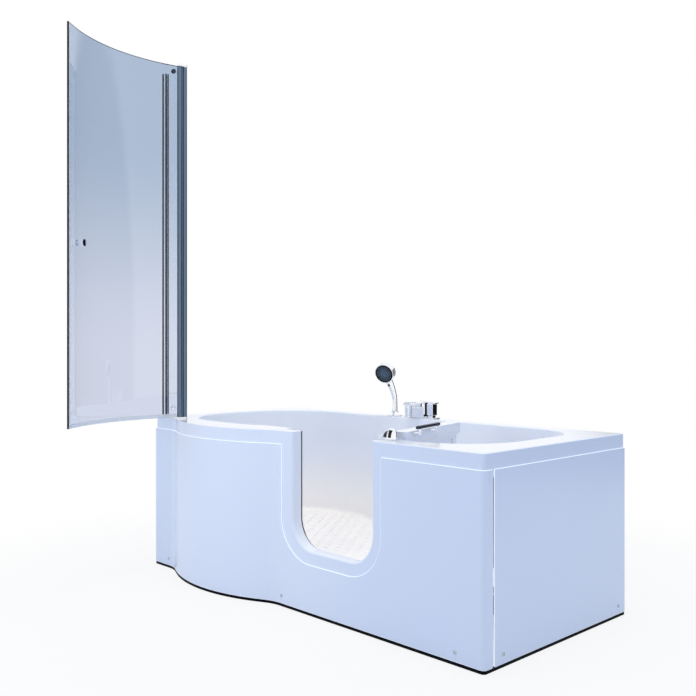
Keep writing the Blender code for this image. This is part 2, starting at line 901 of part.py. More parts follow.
# Underframe
def square_tube(name, centre, length, bottom, along_x):
    """A square tube with open ends, lying along X or Y."""
    half = tube_size / 2
    inner = half - tube_wall
    low = [Vector(pair) for pair in ((-half, 0), (half, 0), (half, tube_size), (-half, tube_size))]
    hole_low, hole_high = tube_wall, tube_size - tube_wall
    hole = [Vector(pair) for pair in ((-inner, hole_low), (inner, hole_low),
                                      (inner, hole_high), (-inner, hole_high))]
    rings = []
    for outline, end in ((low, -1), (low, 1), (hole, 1), (hole, -1)):
        ring = []
        for point in outline:
            reach = end * length / 2
            place = (reach, point.x) if along_x else (point.x, reach)
            ring.append(Vector((centre[0] + place[0], centre[1] + place[1], bottom + point.y)))
        rings.append(ring)
    return loft(name, rings, looped=True)


finish(square_tube("rail_front", (0, -rail_y), rail_length, rail_bottom, True), steel)
finish(square_tube("rail_back", (0, rail_y), rail_length, rail_bottom, True), steel)
for name, share in zip(("bar_left", "bar_middle", "bar_right"), bar_shares):
    finish(square_tube(name, (rail_length * share, 0), bar_length, bar_bottom, False), steel)
finish(square_tube("bar_end", (end_bar_x, 0), bar_length, bar_bottom, False), steel)

feet = {
    "foot_centre": (0, 0, bar_bottom),
    "foot_front_left": (-foot_x, -rail_y, rail_bottom),
    "foot_front_right": (foot_x, -rail_y, rail_bottom),
    "foot_back_left": (-foot_x, rail_y, rail_bottom),
    "foot_back_right": (foot_x, rail_y, rail_bottom),
}
for name, (x, y, top) in feet.items():
    centre = Vector((x, y, 0))
    foot = turned(name, centre, [
        (pad_radius, 0), (pad_radius, pad_height / 2), (pad_neck_radius, pad_height),
        (stem_radius, pad_height), (stem_radius, top - gap - foot_nut_height),
        (foot_nut_radius, top - gap - foot_nut_height), (foot_nut_radius, top - gap)], 16)
    finish(foot, steel)

# Waste in the basin floor, trap, outlet pipe and overflow
flange_seat = floor_height + gap
sleeve_outer = waste_hole_radius - gap
sleeve_inner = sleeve_outer - waste_sleeve_wall
flange_top = flange_seat + waste_flange_height
flange_base = Vector((waste_x, 0, 0))
waste_flange = turned("waste_flange", flange_base, [
    (sleeve_outer, flange_top - waste_sleeve_length), (sleeve_outer, flange_seat),
    (waste_flange_radius, flange_seat), (waste_flange_radius - waste_flange_height, flange_top),
    (sleeve_inner, flange_top), (sleeve_inner, flange_top - waste_sleeve_length)], 24, looped=True)
bridge_top = flange_top - waste_bridge_drop
bridge_half = waste_bridge_size / 2
bridge_reach = sleeve_outer - waste_sleeve_wall / 2
bridge = box("bridge", (waste_x - bridge_half, -bridge_reach, bridge_top - waste_bridge_size),
             (waste_x + bridge_half, bridge_reach, bridge_top))
unite(bridge, rod("bridge_hub", flange_base, waste_hub_radius,
                  bridge_top - waste_bridge_size - flush_step, bridge_top + flush_step, 16))
unite(waste_flange, bridge)
cut(waste_flange, rod("stem_hole", flange_base, plug_stem_radius + gap,
                      bridge_top - overrun, bridge_top + overrun / 2, 12))
finish(waste_flange, chrome)

plug_seat = flange_top + gap
waste_plug = turned("waste_plug", flange_base, [
    (plug_stem_radius, plug_seat - plug_stem_length), (plug_stem_radius, plug_seat),
    (plug_radius, plug_seat), (plug_radius, plug_seat + plug_edge),
    (plug_dome_radius, plug_seat + plug_dome)], 24)
finish(waste_plug, chrome, Vector((waste_x, 0, plug_seat)))

trap_seat = floor_under - gap
neck_bottom = trap_seat - trap_flange_height - trap_neck_length
body_top = neck_bottom - (trap_radius - trap_neck_radius)
trap_bore = waste_hole_radius
waste_trap = turned("waste_trap", flange_base, [
    (trap_radius, trap_bottom), (trap_radius, body_top), (trap_neck_radius, neck_bottom),
    (trap_neck_radius, trap_seat - trap_flange_height),
    (trap_flange_radius, trap_seat - trap_flange_height), (trap_flange_radius, trap_seat)], 24)
outlet_bore = outlet_radius - trap_wall
inlet_bore = inlet_radius - pipe_wall
back = Vector((0, 1, 0))
right = Vector((1, 0, 0))
outlet_centre = Vector((waste_x, 0, outlet_z))
inlet_centre = Vector((waste_x, 0, inlet_z))
unite(waste_trap,
      rod("outlet", outlet_centre, outlet_radius, trap_radius / 2, outlet_reach, 20, back),
      rod("inlet", inlet_centre, inlet_radius, trap_radius / 2, inlet_reach, 16, right))
cut(waste_trap,
    turned("trap_space", flange_base, [
        (trap_radius - trap_wall, trap_bottom + trap_wall),
        (trap_radius - trap_wall, body_top - trap_wall),
        (trap_bore, neck_bottom), (trap_bore, trap_seat + overrun)], 24),
    rod("outlet_bore", outlet_centre, outlet_bore, 0, outlet_reach + overrun, 20, back),
    rod("inlet_bore", inlet_centre, inlet_bore, 0, inlet_reach + overrun, 16, right))
finish(waste_trap, white_plastic)
pipe_radius = outlet_bore - gap
waste_pipe = tube("waste_pipe", outlet_centre, pipe_radius, pipe_radius - pipe_wall,
                  outlet_reach - outlet_overlap, back_y - pipe_back_inset, 20, back)
finish(waste_pipe, white_plastic)

knob_seat = gap
overflow_knob = turned("overflow_knob", overflow_centre, [
    (knob_stem_radius, -shell_wall - cup_depth + gap), (knob_stem_radius, knob_seat),
    (knob_radius, knob_seat), (knob_radius, knob_height - knob_edge),
    (knob_radius - knob_edge, knob_height)], 24, wall_in)
grip_ends = [overflow_centre + wall_in * (knob_height - knob_edge),
             overflow_centre + wall_in * (knob_height + knob_grip_height)]
grip_side = Vector((0, 1, 0)) * (knob_grip_width / 2)
grip_up = wall_up * (knob_radius - 2 * knob_edge)
grip_rings = [[end + grip_side * across + grip_up * up
               for across, up in ((-1, -1), (1, -1), (1, 1), (-1, 1))] for end in grip_ends]
unite(overflow_knob, loft("grip", grip_rings))
finish(overflow_knob, chrome, overflow_centre)

cup_seat = -shell_wall - gap
overflow_body = turned("overflow_body", overflow_centre, [
    (cup_radius, cup_seat - cup_depth), (cup_radius, cup_seat - cup_flange_height),
    (cup_flange_radius, cup_seat - cup_flange_height), (cup_flange_radius, cup_seat)], 24, wall_in)
cup_middle = overflow_centre + wall_in * (cup_seat - cup_depth / 2)
pipe_corner = Vector((cup_middle.x, 0, inlet_z))
pipe_end = Vector((waste_x + inlet_reach - outlet_overlap, 0, inlet_z))
overflow_path = [cup_middle] + bend(cup_middle, pipe_corner, pipe_end, overflow_bend, 6)
overflow_path.append(pipe_end)
unite(overflow_body, swept("overflow_run", overflow_path, overflow_pipe_radius, 16))
bore_path = [cup_middle] + overflow_path[1:-1] + [pipe_end - right * overrun]
cut(overflow_body,
    rod("cup_space", overflow_centre, cup_radius - cup_wall,
        cup_seat - cup_depth + cup_wall, overrun, 20, wall_in),
    rod("knob_stem_hole", overflow_centre, knob_stem_radius + gap,
        cup_seat - cup_depth - overrun, cup_seat, 12, wall_in),
    swept("overflow_bore", bore_path, overflow_pipe_radius - pipe_wall, 16))
finish(overflow_body, white_plastic)

# Door, drawn closed and then turned open about its hinge line
hinge_axis = Vector((hinge_x, hinge_y, 0))
leaf_outline = rounded([
    (leaf_left, rim_height, 0, 0), (leaf_left, leaf_bottom, leaf_round, 7),
    (hinge_x, leaf_bottom, leaf_round, 7), (hinge_x, rim_height, 0, 0)])
door_leaf = prism_back("door_leaf", leaf_outline, leaf_outer_y, leaf_inner_y)
band_bottom = leaf_top - band_height
band_inner_y = leaf_inner_y + band_flare
band_profile = [Vector(pair) for pair in (
    (leaf_outer_y + band_inset, band_bottom), (leaf_inner_y - band_edge, band_bottom - band_under_drop),
    (band_inner_y, band_bottom + band_under_drop), (band_inner_y, leaf_top - band_edge),
    (band_inner_y - band_edge, leaf_top),
    (leaf_outer_y + band_inset + band_edge, leaf_top),
    (leaf_outer_y + band_inset, leaf_top - band_edge))]
unite(door_leaf,
      rod("knuckle", hinge_axis, leaf_thickness / 2, knuckle_bottom, rim_height, 28),
      prism_along("band", band_profile, leaf_left, hinge_x - band_hinge_gap))
panel_outline = door_outline(leaf_left + leaf_panel_border, hinge_x - 2 * leaf_panel_border,
                             leaf_bottom + leaf_panel_foot, leaf_panel_round, leaf_panel_top)
notch_radius = leaf_thickness / 2 + notch_extra
cut(door_leaf,
    prism_back("leaf_panel", panel_outline, leaf_inner_y - leaf_panel_depth,
               leaf_inner_y + overrun),
    rod("rod_bore", hinge_axis, rod_radius + gap, knuckle_bottom - overrun,
        rim_height + overrun, 16))
for middle in (low_block_z, high_block_z):
    reach = block_height / 2 + notch_gap
    cut(door_leaf, rod("notch", hinge_axis, notch_radius, middle - reach, middle + reach, 28))
finish(door_leaf, acrylic, hinge_axis)

hinge_rod = rod("hinge_rod", hinge_axis, rod_radius, knuckle_bottom + rod_end_inset,
                rim_height - rod_end_inset, 16)
finish(hinge_rod, steel)
for name, middle in (("hinge_block_low", low_block_z), ("hinge_block_high", high_block_z)):
    low, high = middle - block_height / 2, middle + block_height / 2
    block = rod(name, hinge_axis, block_radius, low, high, 20)
    arm_half = block_arm_width / 2
    unite(block, box("arm", (hinge_x, hinge_y - arm_half, low + flush_step),
                     (recess_right - gap, hinge_y + arm_half, high - flush_step)))
    cut(block, rod("bore", hinge_axis, rod_radius + gap, low - overrun, high + overrun, 16))
    finish(block, chrome)

bar_y = band_inner_y + handle_standoff
bar_z = leaf_top + handle_rise
foot_z = leaf_top - handle_foot_drop
bar_start = Vector((leaf_left + handle_start, bar_y, bar_z))
handle_bar = rod("handle_bar", bar_start, handle_radius, 0, handle_length, 14, right)
for along in (handle_post_inset, handle_length - handle_post_inset):
    foot_point = Vector((bar_start.x + along, band_inner_y + gap, foot_z))
    unite(handle_bar, rod("post", foot_point, handle_post_radius, 0, handle_standoff, 12, back))
    riser_foot = Vector((bar_start.x + along, bar_y, 0))
    unite(handle_bar, rod("riser", riser_foot, handle_riser_radius, foot_z, bar_z, 14))
finish(handle_bar, chrome)

# Lever: a drop shape lofted along its length, from the round end to the tip
lever_direction = Matrix.Rotation(math.pi + leaf_open_angle, 3, "Z")
lever_rings = []
lever_base = rim_height + lever_lift
for share in lever_hub_shares + lever_arm_shares:
    if share < 0:
        along = lever_hub_radius * share
        round_share = math.sqrt(1 - share ** 2)
        half_width, height = lever_hub_radius * round_share, lever_height * round_share
    else:
        along = lever_length * share
        round_share = 1 - share * share * (3 - 2 * share)
        half_width = lever_tip_radius + (lever_hub_radius - lever_tip_radius) * round_share
        height = lever_tip_radius + (lever_height - lever_tip_radius) * round_share
    ring = []
    for index in range(11):
        turn = math.pi * index / 10
        point = Vector((along, half_width * math.cos(turn), 0))
        ring.append(hinge_axis + lever_direction @ point
                    + Vector((0, 0, lever_base + height * math.sin(turn))))
    lever_rings.append(ring)
lock_lever = loft("lock_lever", lever_rings)
unite(lock_lever, rod("lever_foot", hinge_axis, lever_foot_radius, rim_height + gap,
                      lever_base + lever_lift, 24))
finish(lock_lever, chrome, Vector((hinge_x, hinge_y, rim_height)))
carry(door_leaf, [handle_bar, lock_lever])
door_leaf.rotation_euler.z = -leaf_open_angle

# Hand shower
holder_top = deck_top + holder_height
shower_holder = turned("shower_holder", shower_centre, [
    (holder_tail_radius, deck_top - tail_length), (holder_tail_radius, deck_top),
    (holder_radius, deck_top), (holder_radius, deck_top + holder_lip),
    (holder_top_radius, holder_top - holder_lip), (holder_top_radius, holder_top),
    (spigot_radius + gap, holder_top), (spigot_radius + gap, deck_top - tail_length)],
    24, looped=True)
finish(shower_holder, chrome)

grip_start = holder_top + gap
head_centre = Vector((shower_x - head_left, deck_y - head_forward, head_height))
head_down = Vector((0, 0, -1))
head_down = (head_down - head_facing * head_down.dot(head_facing)).normalized()
neck_end = head_centre - head_facing * neck_setback + head_down * neck_drop
grip_low = Vector((shower_x, deck_y, grip_start))
grip_top = Vector((shower_x, deck_y, grip_start + grip_straight))
grip_path = [grip_low, grip_top]
grip_steps = 7
grip_radii = [grip_radius, grip_middle_radius]
pull = Vector((grip_top.x, grip_top.y,
               grip_top.z + (neck_end.z - grip_top.z) * neck_bend_share))
for step in range(1, grip_steps + 1):
    t = step / grip_steps
    grip_path.append(grip_top * (1 - t) ** 2 + pull * (2 * t * (1 - t)) + neck_end * t ** 2)
    grip_radii.append(grip_middle_radius + (grip_neck_radius - grip_middle_radius) * t * t)
head_profile = [(head_radius * across, -head_depth * along) for across, along in
                zip(head_back_radius_shares, head_back_depth_shares)]
head_profile += [(head_radius, -head_rim), (head_radius, 0)]
hand_shower = turned("hand_shower", head_centre, head_profile, 32, head_facing)
unite(hand_shower,
      swept("grip", grip_path, grip_radii, 20),
      rod("spigot", Vector((shower_x, deck_y, 0)), spigot_radius, grip_start - spigot_length,
          grip_start + spigot_radius, 20))
face_space = head_radius - face_recess / 2
beside = min(range(len(grip_path)), key=lambda number: abs(grip_path[number].z - button_z))
neck, neck_radius = grip_path[beside], grip_radii[beside]
neck_rise = (grip_path[beside + 1] - grip_path[beside - 1]).normalized()
button_way = (head_facing - neck_rise * head_facing.dot(neck_rise)).normalized()
button_seat = neck_radius - button_depth
cut(hand_shower,
    rod("face_space", head_centre, face_space, -face_recess, overrun, 32, head_facing),
    rod("button_space", neck, button_radius + gap, button_seat, button_seat + overrun, 16,
        button_way))
finish(hand_shower, chrome, grip_low)
ring_outer = face_space - gap
ring_inner = ring_outer - face_ring_width
face_base = gap - face_recess
spray_ring = tube("spray_ring", head_centre, ring_outer, ring_inner, face_base,
                  face_ring_proud, 32, head_facing)
finish(spray_ring, black_plastic)
spray_face = turned("spray_face", head_centre, [
    (ring_inner - gap, face_base), (ring_inner - gap, -face_ring_proud),
    (face_boss_radius, -face_ring_proud), (face_boss_radius, face_boss_height - face_ring_proud)],
    32, head_facing)
finish(spray_face, dark_face, head_centre)
mode_button = rod("mode_button", neck, button_radius, button_seat + button_travel + gap,
                  neck_radius + button_proud, 16, button_way)
finish(mode_button, black_plastic)
carry(hand_shower, [spray_ring, spray_face, mode_button])

# Diverter, spout and mixer
base_top = deck_top + diverter_base_height
diverter_base = turned("diverter_base", diverter_centre, [
    (tail_radius, deck_top - tail_length), (tail_radius, deck_top),
    (diverter_base_radius, deck_top), (diverter_base_radius, base_top)], 20)
finish(diverter_base, chrome)
knob_low = base_top + gap
knob_high = rim_height + diverter_top
diverter_knob = turned("diverter_knob", diverter_centre, [
    (diverter_radius, knob_low), (diverter_radius, knob_high - diverter_edge),
    (diverter_radius - diverter_edge, knob_high)], 24)
pin_z = knob_high - diverter_pin_drop
unite(diverter_knob, rod("pin", Vector((diverter_x, deck_y, pin_z)), diverter_pin_radius,
                         diverter_radius / 2, diverter_radius + diverter_pin_length, 12, -right))
finish(diverter_knob, chrome, Vector((diverter_x, deck_y, knob_low)))

spout_left = spout_x - spout_width / 2
spout_right = spout_x + spout_width / 2
spout_back = deck_y + spout_body_depth / 2
spout_front = deck_y - spout_body_depth / 2
spout_tip = spout_front - spout_reach
spout_top = rim_height + spout_height
spout_profile = [Vector(pair) for pair in (
    (spout_back, deck_top), (spout_back, spout_top), (spout_tip, spout_top),
    (spout_tip, spout_top - spout_lip), (spout_front, spout_top - spout_lip - spout_channel_wall),
    (spout_front, deck_top))]
spout = prism_along("spout", spout_profile[::-1], spout_left, spout_right)
unite(spout, rod("tail", spout_centre, tail_radius, deck_top - tail_length,
                 deck_top + spout_lip, 16))
cut(spout, box("channel", (spout_left + spout_channel_wall, spout_tip - overrun,
                           spout_top - spout_channel_depth),
               (spout_right - spout_channel_wall, deck_y, spout_top + overrun)))
finish(spout, chrome)


def square_block(name, centre, size, bottom, top, bevel):
    half = size / 2
    outline = rounded([(centre.x - half, centre.y - half, bevel, 2),
                       (centre.x + half, centre.y - half, bevel, 2),
                       (centre.x + half, centre.y + half, bevel, 2),
                       (centre.x - half, centre.y + half, bevel, 2)])
    return prism_up(name, outline, bottom, top)


plate_top = deck_top + mixer_plate_height
neck_top = rim_height + mixer_neck_top
mixer_base = square_block("mixer_base", mixer_centre, mixer_plate, deck_top, plate_top,
                          mixer_bevel)
unite(mixer_base,
      square_block("neck", mixer_centre, mixer_neck, plate_top - mixer_plate_height / 2,
                   neck_top, mixer_bevel),
      rod("tail", mixer_centre, tail_radius, deck_top - tail_length,
          deck_top + mixer_plate_height / 2, 16))
finish(mixer_base, chrome)
block_low = neck_top + gap
block_top = rim_height + mixer_block_top
mixer_block = square_block("mixer_block", mixer_centre, mixer_block_size, block_low,
                           block_top, mixer_bevel)
finish(mixer_block, chrome, Vector((mixer_x, deck_y, block_low)))
lever_axis_x = mixer_x + mixer_block_size / 2
lever_low = block_top + gap
lever_right = lever_axis_x + lever_slab_back
lever_left = lever_right - lever_slab_length
slab_profile = [Vector(pair) for pair in (
    (lever_left, lever_low + lever_slab_rise), (lever_axis_x, lever_low),
    (lever_right, lever_low), (lever_right, lever_low + lever_slab_thickness),
    (lever_left, lever_low + lever_slab_rise + lever_slab_thickness))]
mixer_lever = prism_back("mixer_lever", slab_profile, deck_y - lever_slab_width / 2,
                         deck_y + lever_slab_width / 2)
finish(mixer_lever, chrome, Vector((lever_axis_x, deck_y, lever_low)))
carry(mixer_block, [mixer_lever])

plate_under = deck_under - gap
deck_plate = box("deck_plate",
                 (shower_x - deck_plate_end, deck_y - deck_plate_width / 2,
                  plate_under - deck_plate_thickness),
                 (mixer_x + deck_plate_end, deck_y + deck_plate_width / 2, plate_under))
for centre, bore in ((shower_centre, holder_tail_radius), (diverter_centre, tail_radius),
                     (spout_centre, tail_radius), (mixer_centre, tail_radius)):
    cut(deck_plate, rod("plate_hole", centre, bore + gap, deck_under - overrun,
                        deck_under + overrun, 16))
finish(deck_plate, steel)

# Screen, fixed part
half_depth = wall_profile_depth / 2
profile_right = left_x + wall_profile_width
slot_half = glass_thickness / 2 + gap
profile_outline = [Vector(pair) for pair in (
    (left_x, screen_y - half_depth), (profile_right, screen_y - half_depth),
    (profile_right, screen_y - slot_half), (left_x + wall_profile_wall, screen_y - slot_half),
    (left_x + wall_profile_wall, screen_y + slot_half), (profile_right, screen_y + slot_half),
    (profile_right, screen_y + half_depth), (left_x, screen_y + half_depth))]
wall_profile = prism_up("wall_profile", profile_outline, deck_top, screen_top + wall_profile_extra)
finish(wall_profile, satin)
fixed_glass = box("fixed_glass",
                  (profile_right - glass_in_profile, screen_y - glass_thickness / 2,
                   deck_top),
                  (post_x - cap_radius - gap, screen_y + glass_thickness / 2, screen_top))
finish(fixed_glass, clear_glass)

post_centre = Vector((post_x, screen_y, 0))
swing_axis = Vector((swing_x, swing_y, 0))
plate_high = deck_top + foot_plate_height
post_low = plate_high + gap
post_high = screen_top - gap
pivot_post = tube("pivot_post", post_centre, post_radius, post_radius - post_wall,
                  post_low, post_high, 20)
finish(pivot_post, satin)


def stadium(first, second, radius, steps):
    """Plan outline around two centres."""
    along = (second - first).normalized()
    start = math.atan2(along.y, along.x)
    points = []
    for centre, turn in ((second, start - math.pi / 2), (first, start + math.pi / 2)):
        for step in range(steps + 1):
            angle = turn + math.pi * step / steps
            points.append(Vector((centre.x + radius * math.cos(angle),
                                  centre.y + radius * math.sin(angle))))
    return points


def end_cap(name, low, high, pin_way):
    """The plate that holds the post and the swinging profile, with a pin for each."""
    item = prism_up(name, stadium(post_centre.xy, swing_axis.xy, cap_radius, 10), low, high)
    face = high if pin_way > 0 else low
    for centre, radius, length in ((post_centre, post_radius - post_wall - gap, post_pin_length),
                                   (swing_axis, swing_radius - swing_wall - gap, pin_length)):
        ends = sorted((face - pin_way * (high - low) / 2, face + pin_way * length))
        unite(item, rod("pin", centre, radius, ends[0], ends[1], 16))
    return item


finish(end_cap("post_foot", deck_top, plate_high, 1), chrome)
finish(end_cap("post_top", screen_top, screen_top + cap_height, -1), chrome)

# Swinging glass, drawn closed and then turned open about its profile
swing_low = plate_high + gap
hinge_profile = tube("hinge_profile", swing_axis, swing_radius, swing_radius - swing_wall,
                     swing_low, post_high, 20)
finish(hinge_profile, satin, swing_axis)
arc_radius = ((swing_chord / 2) ** 2 + swing_sagitta ** 2) / (2 * swing_sagitta)
half_turn = math.asin(swing_chord / 2 / arc_radius)
arc_centre = swing_axis.xy + Vector((swing_chord / 2, arc_radius * math.cos(half_turn)))


def arc_point(run, shift=0):
    """A plan point a run along the closed glass from the axis, and a shift outward."""
    angle = -math.pi / 2 - half_turn + run / arc_radius
    return arc_centre + Vector((math.cos(angle), math.sin(angle))) * (arc_radius + shift)


def arc_strip(start, end, thickness, steps):
    runs = [start + (end - start) * step / steps for step in range(steps + 1)]
    outer = [arc_point(run, thickness / 2) for run in runs]
    inner = [arc_point(run, -thickness / 2) for run in runs]
    return outer + inner[::-1]


arc_length = 2 * half_turn * arc_radius
glass_start = swing_radius + swing_glass_gap
swing_glass = prism_up("swing_glass", arc_strip(glass_start, arc_length, glass_thickness, 24),
                       glass_bottom, post_high)
bottom_seal = prism_up("bottom_seal", arc_strip(swing_radius + swing_seal_gap, arc_length,
                                                bottom_seal_width, 24),
                       glass_bottom - gap - bottom_seal_depth, glass_bottom - gap)
edge_seal = prism_up("edge_seal", arc_strip(arc_length + gap, arc_length + gap + edge_seal_length,
                                            edge_seal_width, 2),
                     glass_bottom - gap - bottom_seal_depth, post_high)


def across_glass(run, z):
    """The place of a bolt through the glass and its way out."""
    middle = arc_point(run)
    way = (arc_point(run, arc_radius) - middle).normalized()
    return Vector((middle.x, middle.y, z)), Vector((way.x, way.y, 0))


glass_half = glass_thickness / 2 + gap
knob_place, knob_way = across_glass(arc_length - glass_knob_from_edge, glass_knob_z)
glass_knob_reach = glass_half + glass_knob_neck + glass_knob_height
knob_side = [(glass_knob_bolt_radius, 0), (glass_knob_bolt_radius, glass_half),
             (glass_knob_neck_radius, glass_half),
             (glass_knob_neck_radius, glass_half + glass_knob_neck),
             (glass_knob_radius, glass_half + glass_knob_neck),
             (glass_knob_radius, glass_knob_reach)]
glass_knob = turned("glass_knob", knob_place,
                    [(radius, -height) for radius, height in knob_side[:0:-1]] + knob_side[1:],
                    18, knob_way)
finish(glass_knob, chrome)
cut(swing_glass, rod("knob_hole", knob_place, glass_knob_bolt_radius + gap, -overrun, overrun,
                     16, knob_way))
clamps = []
for name, z in (("glass_clamp_low", glass_bottom + clamp_inset),
                ("glass_clamp_high", post_high - clamp_inset)):
    clamp_place, clamp_way = across_glass(clamp_from_axis, z)
    half_side = [(clamp_bolt_radius, glass_half), (clamp_radius, glass_half),
                 (clamp_radius, glass_half + clamp_height)]
    clamps.append(turned(name, clamp_place,
                         [(radius, -height) for radius, height in half_side[::-1]] + half_side,
                         16, clamp_way))
    cut(swing_glass, rod("clamp_hole", clamp_place, clamp_bolt_radius + gap, -overrun, overrun,
                         12, clamp_way))
for clamp in clamps:
    finish(clamp, chrome)
finish(swing_glass, clear_glass)
finish(bottom_seal, clear_seal)
finish(edge_seal, clear_seal)
carry(hinge_profile, [swing_glass, bottom_seal, edge_seal, glass_knob, *clamps])
hinge_profile.rotation_euler.z = -swing_open_angle
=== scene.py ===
import math

import bmesh
import bpy
from mathutils import Matrix, Vector


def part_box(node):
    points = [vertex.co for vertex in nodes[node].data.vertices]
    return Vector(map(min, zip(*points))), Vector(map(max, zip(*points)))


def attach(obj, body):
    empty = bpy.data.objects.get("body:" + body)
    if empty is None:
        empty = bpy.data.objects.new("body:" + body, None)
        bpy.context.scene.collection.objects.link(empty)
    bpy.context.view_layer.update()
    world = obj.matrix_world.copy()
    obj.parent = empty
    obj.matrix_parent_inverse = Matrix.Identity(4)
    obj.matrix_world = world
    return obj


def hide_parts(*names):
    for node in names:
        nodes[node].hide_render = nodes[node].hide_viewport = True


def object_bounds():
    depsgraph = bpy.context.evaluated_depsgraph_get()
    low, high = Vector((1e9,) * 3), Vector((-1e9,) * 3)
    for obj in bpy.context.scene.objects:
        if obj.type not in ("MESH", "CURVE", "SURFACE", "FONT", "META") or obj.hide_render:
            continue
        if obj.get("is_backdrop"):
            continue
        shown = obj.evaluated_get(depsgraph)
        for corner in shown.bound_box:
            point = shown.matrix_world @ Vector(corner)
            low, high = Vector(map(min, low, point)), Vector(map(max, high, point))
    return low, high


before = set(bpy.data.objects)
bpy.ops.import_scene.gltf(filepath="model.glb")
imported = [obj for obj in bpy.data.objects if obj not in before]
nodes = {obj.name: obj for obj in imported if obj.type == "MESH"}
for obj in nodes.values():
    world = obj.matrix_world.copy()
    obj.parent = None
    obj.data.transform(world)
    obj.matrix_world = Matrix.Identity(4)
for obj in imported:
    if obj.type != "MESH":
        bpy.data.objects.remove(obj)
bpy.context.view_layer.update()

# A shower bath with an inward door, deck taps, a hand shower and a swinging glass screen.
# Metres, +Z up, in the frame of the CAD model: +X runs to the panelled end, -Y is the front.
scene = bpy.context.scene

# Studio. A plain pale floor fades into a white surround, and soft lamps stand at the front
# left and overhead. The camera stands level off the right front corner, as in the photograph.
camera = bpy.data.objects.new("camera", bpy.data.cameras.new("camera"))
scene.collection.objects.link(camera)
camera.location = (2.319, -2.331, 0.924)
camera.rotation_euler = (math.radians(90), 0, math.radians(46.05))
camera.data.lens = 44.74
camera.data.shift_y = -0.0073
scene.camera = camera
scene.view_settings.view_transform = "Standard"


def srgb(value):
    """Linear colour of an sRGB hex value."""
    parts = [int(value[place:place + 2], 16) / 255 for place in (1, 3, 5)]
    parts = [part / 12.92 if part <= 0.04045 else ((part + 0.055) / 1.055) ** 2.4 for part in parts]
    return (*parts, 1.0)


def add(tree, kind, inputs=None, **settings):
    """Adds a node with its settings; an input that is a socket is linked, any other is set."""
    made = tree.nodes.new(kind)
    for name, value in settings.items():
        setattr(made, name, value)
    for name, value in (inputs or {}).items():
        if isinstance(value, bpy.types.NodeSocket):
            tree.links.new(value, made.inputs[name])
        else:
            made.inputs[name].default_value = value
    return made


# Soft light comes white from above and pale blue from the sides. What metal mirrors is a white
# room with one wide, low, dark doorway at the back.
doorway, doorway_squat, doorway_edge = (0.139, 0.990, 0.0), 2.2, (0.743, 0.809)
world = bpy.data.worlds.new("studio")
scene.world = world
world.use_nodes = True
tree = world.node_tree
tree.nodes.clear()
rays = add(tree, "ShaderNodeLightPath").outputs
way = add(tree, "ShaderNodeTexCoord").outputs["Generated"]
flat = add(tree, "ShaderNodeVectorMath", {0: way, 1: (1.0, 1.0, doorway_squat)},
           operation="MULTIPLY").outputs["Vector"]
flat = add(tree, "ShaderNodeVectorMath", {0: flat}, operation="NORMALIZE").outputs["Vector"]
along = add(tree, "ShaderNodeVectorMath", {0: flat, 1: doorway},
            operation="DOT_PRODUCT").outputs["Value"]
dark = add(tree, "ShaderNodeMapRange", {"Value": along, "From Min": doorway_edge[0],
                                        "From Max": doorway_edge[1]},
           interpolation_type="SMOOTHSTEP").outputs["Result"]
mirrored = add(tree, "ShaderNodeMix", {"Factor": dark, "A": srgb("#ffffff"), "B": srgb("#14161b")},
               data_type="RGBA").outputs["Result"]
height = add(tree, "ShaderNodeSeparateXYZ", {"Vector": way}).outputs["Z"]
height = add(tree, "ShaderNodeMath", {0: height, 1: 0.0}, operation="MAXIMUM").outputs["Value"]
height = add(tree, "ShaderNodeMath", {0: height, 1: 2.0}, operation="POWER").outputs["Value"]
gentle = add(tree, "ShaderNodeMix", {"Factor": height, "A": srgb("#cadaf5"), "B": srgb("#f6f4ee")},
             data_type="RGBA").outputs["Result"]
soft = add(tree, "ShaderNodeBackground", {"Color": gentle, "Strength": 1.0})
room = add(tree, "ShaderNodeBackground", {"Color": mirrored, "Strength": 1.0})
white = add(tree, "ShaderNodeBackground", {"Color": srgb("#ffffff"), "Strength": 1.0})
seen = add(tree, "ShaderNodeMath", {0: rays["Is Camera Ray"], 1: rays["Is Transmission Ray"]},
           operation="MAXIMUM").outputs["Value"]
lit = add(tree, "ShaderNodeMixShader", {0: rays["Is Glossy Ray"], 1: soft.outputs[0],
                                        2: room.outputs[0]})
whole = add(tree, "ShaderNodeMixShader", {0: seen, 1: lit.outputs[0], 2: white.outputs[0]})
add(tree, "ShaderNodeOutputWorld", {"Surface": whole.outputs[0]})

# Lamps: place, size, watts, colour
for name, place, size, power, tint in (("key", (-0.30, -1.60, 0.95), 0.9, 3.2, "#fffdfa"),
                                       ("top", (0.1, -0.1, 12.0), 4.0, 375, "#fff6ea")):
    lamp = bpy.data.objects.new(name, bpy.data.lights.new(name, "AREA"))
    scene.collection.objects.link(lamp)
    lamp.location = place
    lamp.rotation_euler = (Vector((0, 0, 0.6)) - lamp.location).to_track_quat("-Z", "Y").to_euler()
    lamp.data.shape = "DISK"
    lamp.data.size = size
    lamp.data.energy = power
    lamp.data.color = srgb(tint)[:3]
    lamp.visible_glossy = False
    lamp.visible_transmission = False


def as_object(name, shape):
    """Makes a built shape into an object of the scene."""
    mesh = bpy.data.meshes.new(name)
    shape.to_mesh(mesh)
    shape.free()
    item = bpy.data.objects.new(name, mesh)
    scene.collection.objects.link(item)
    return item


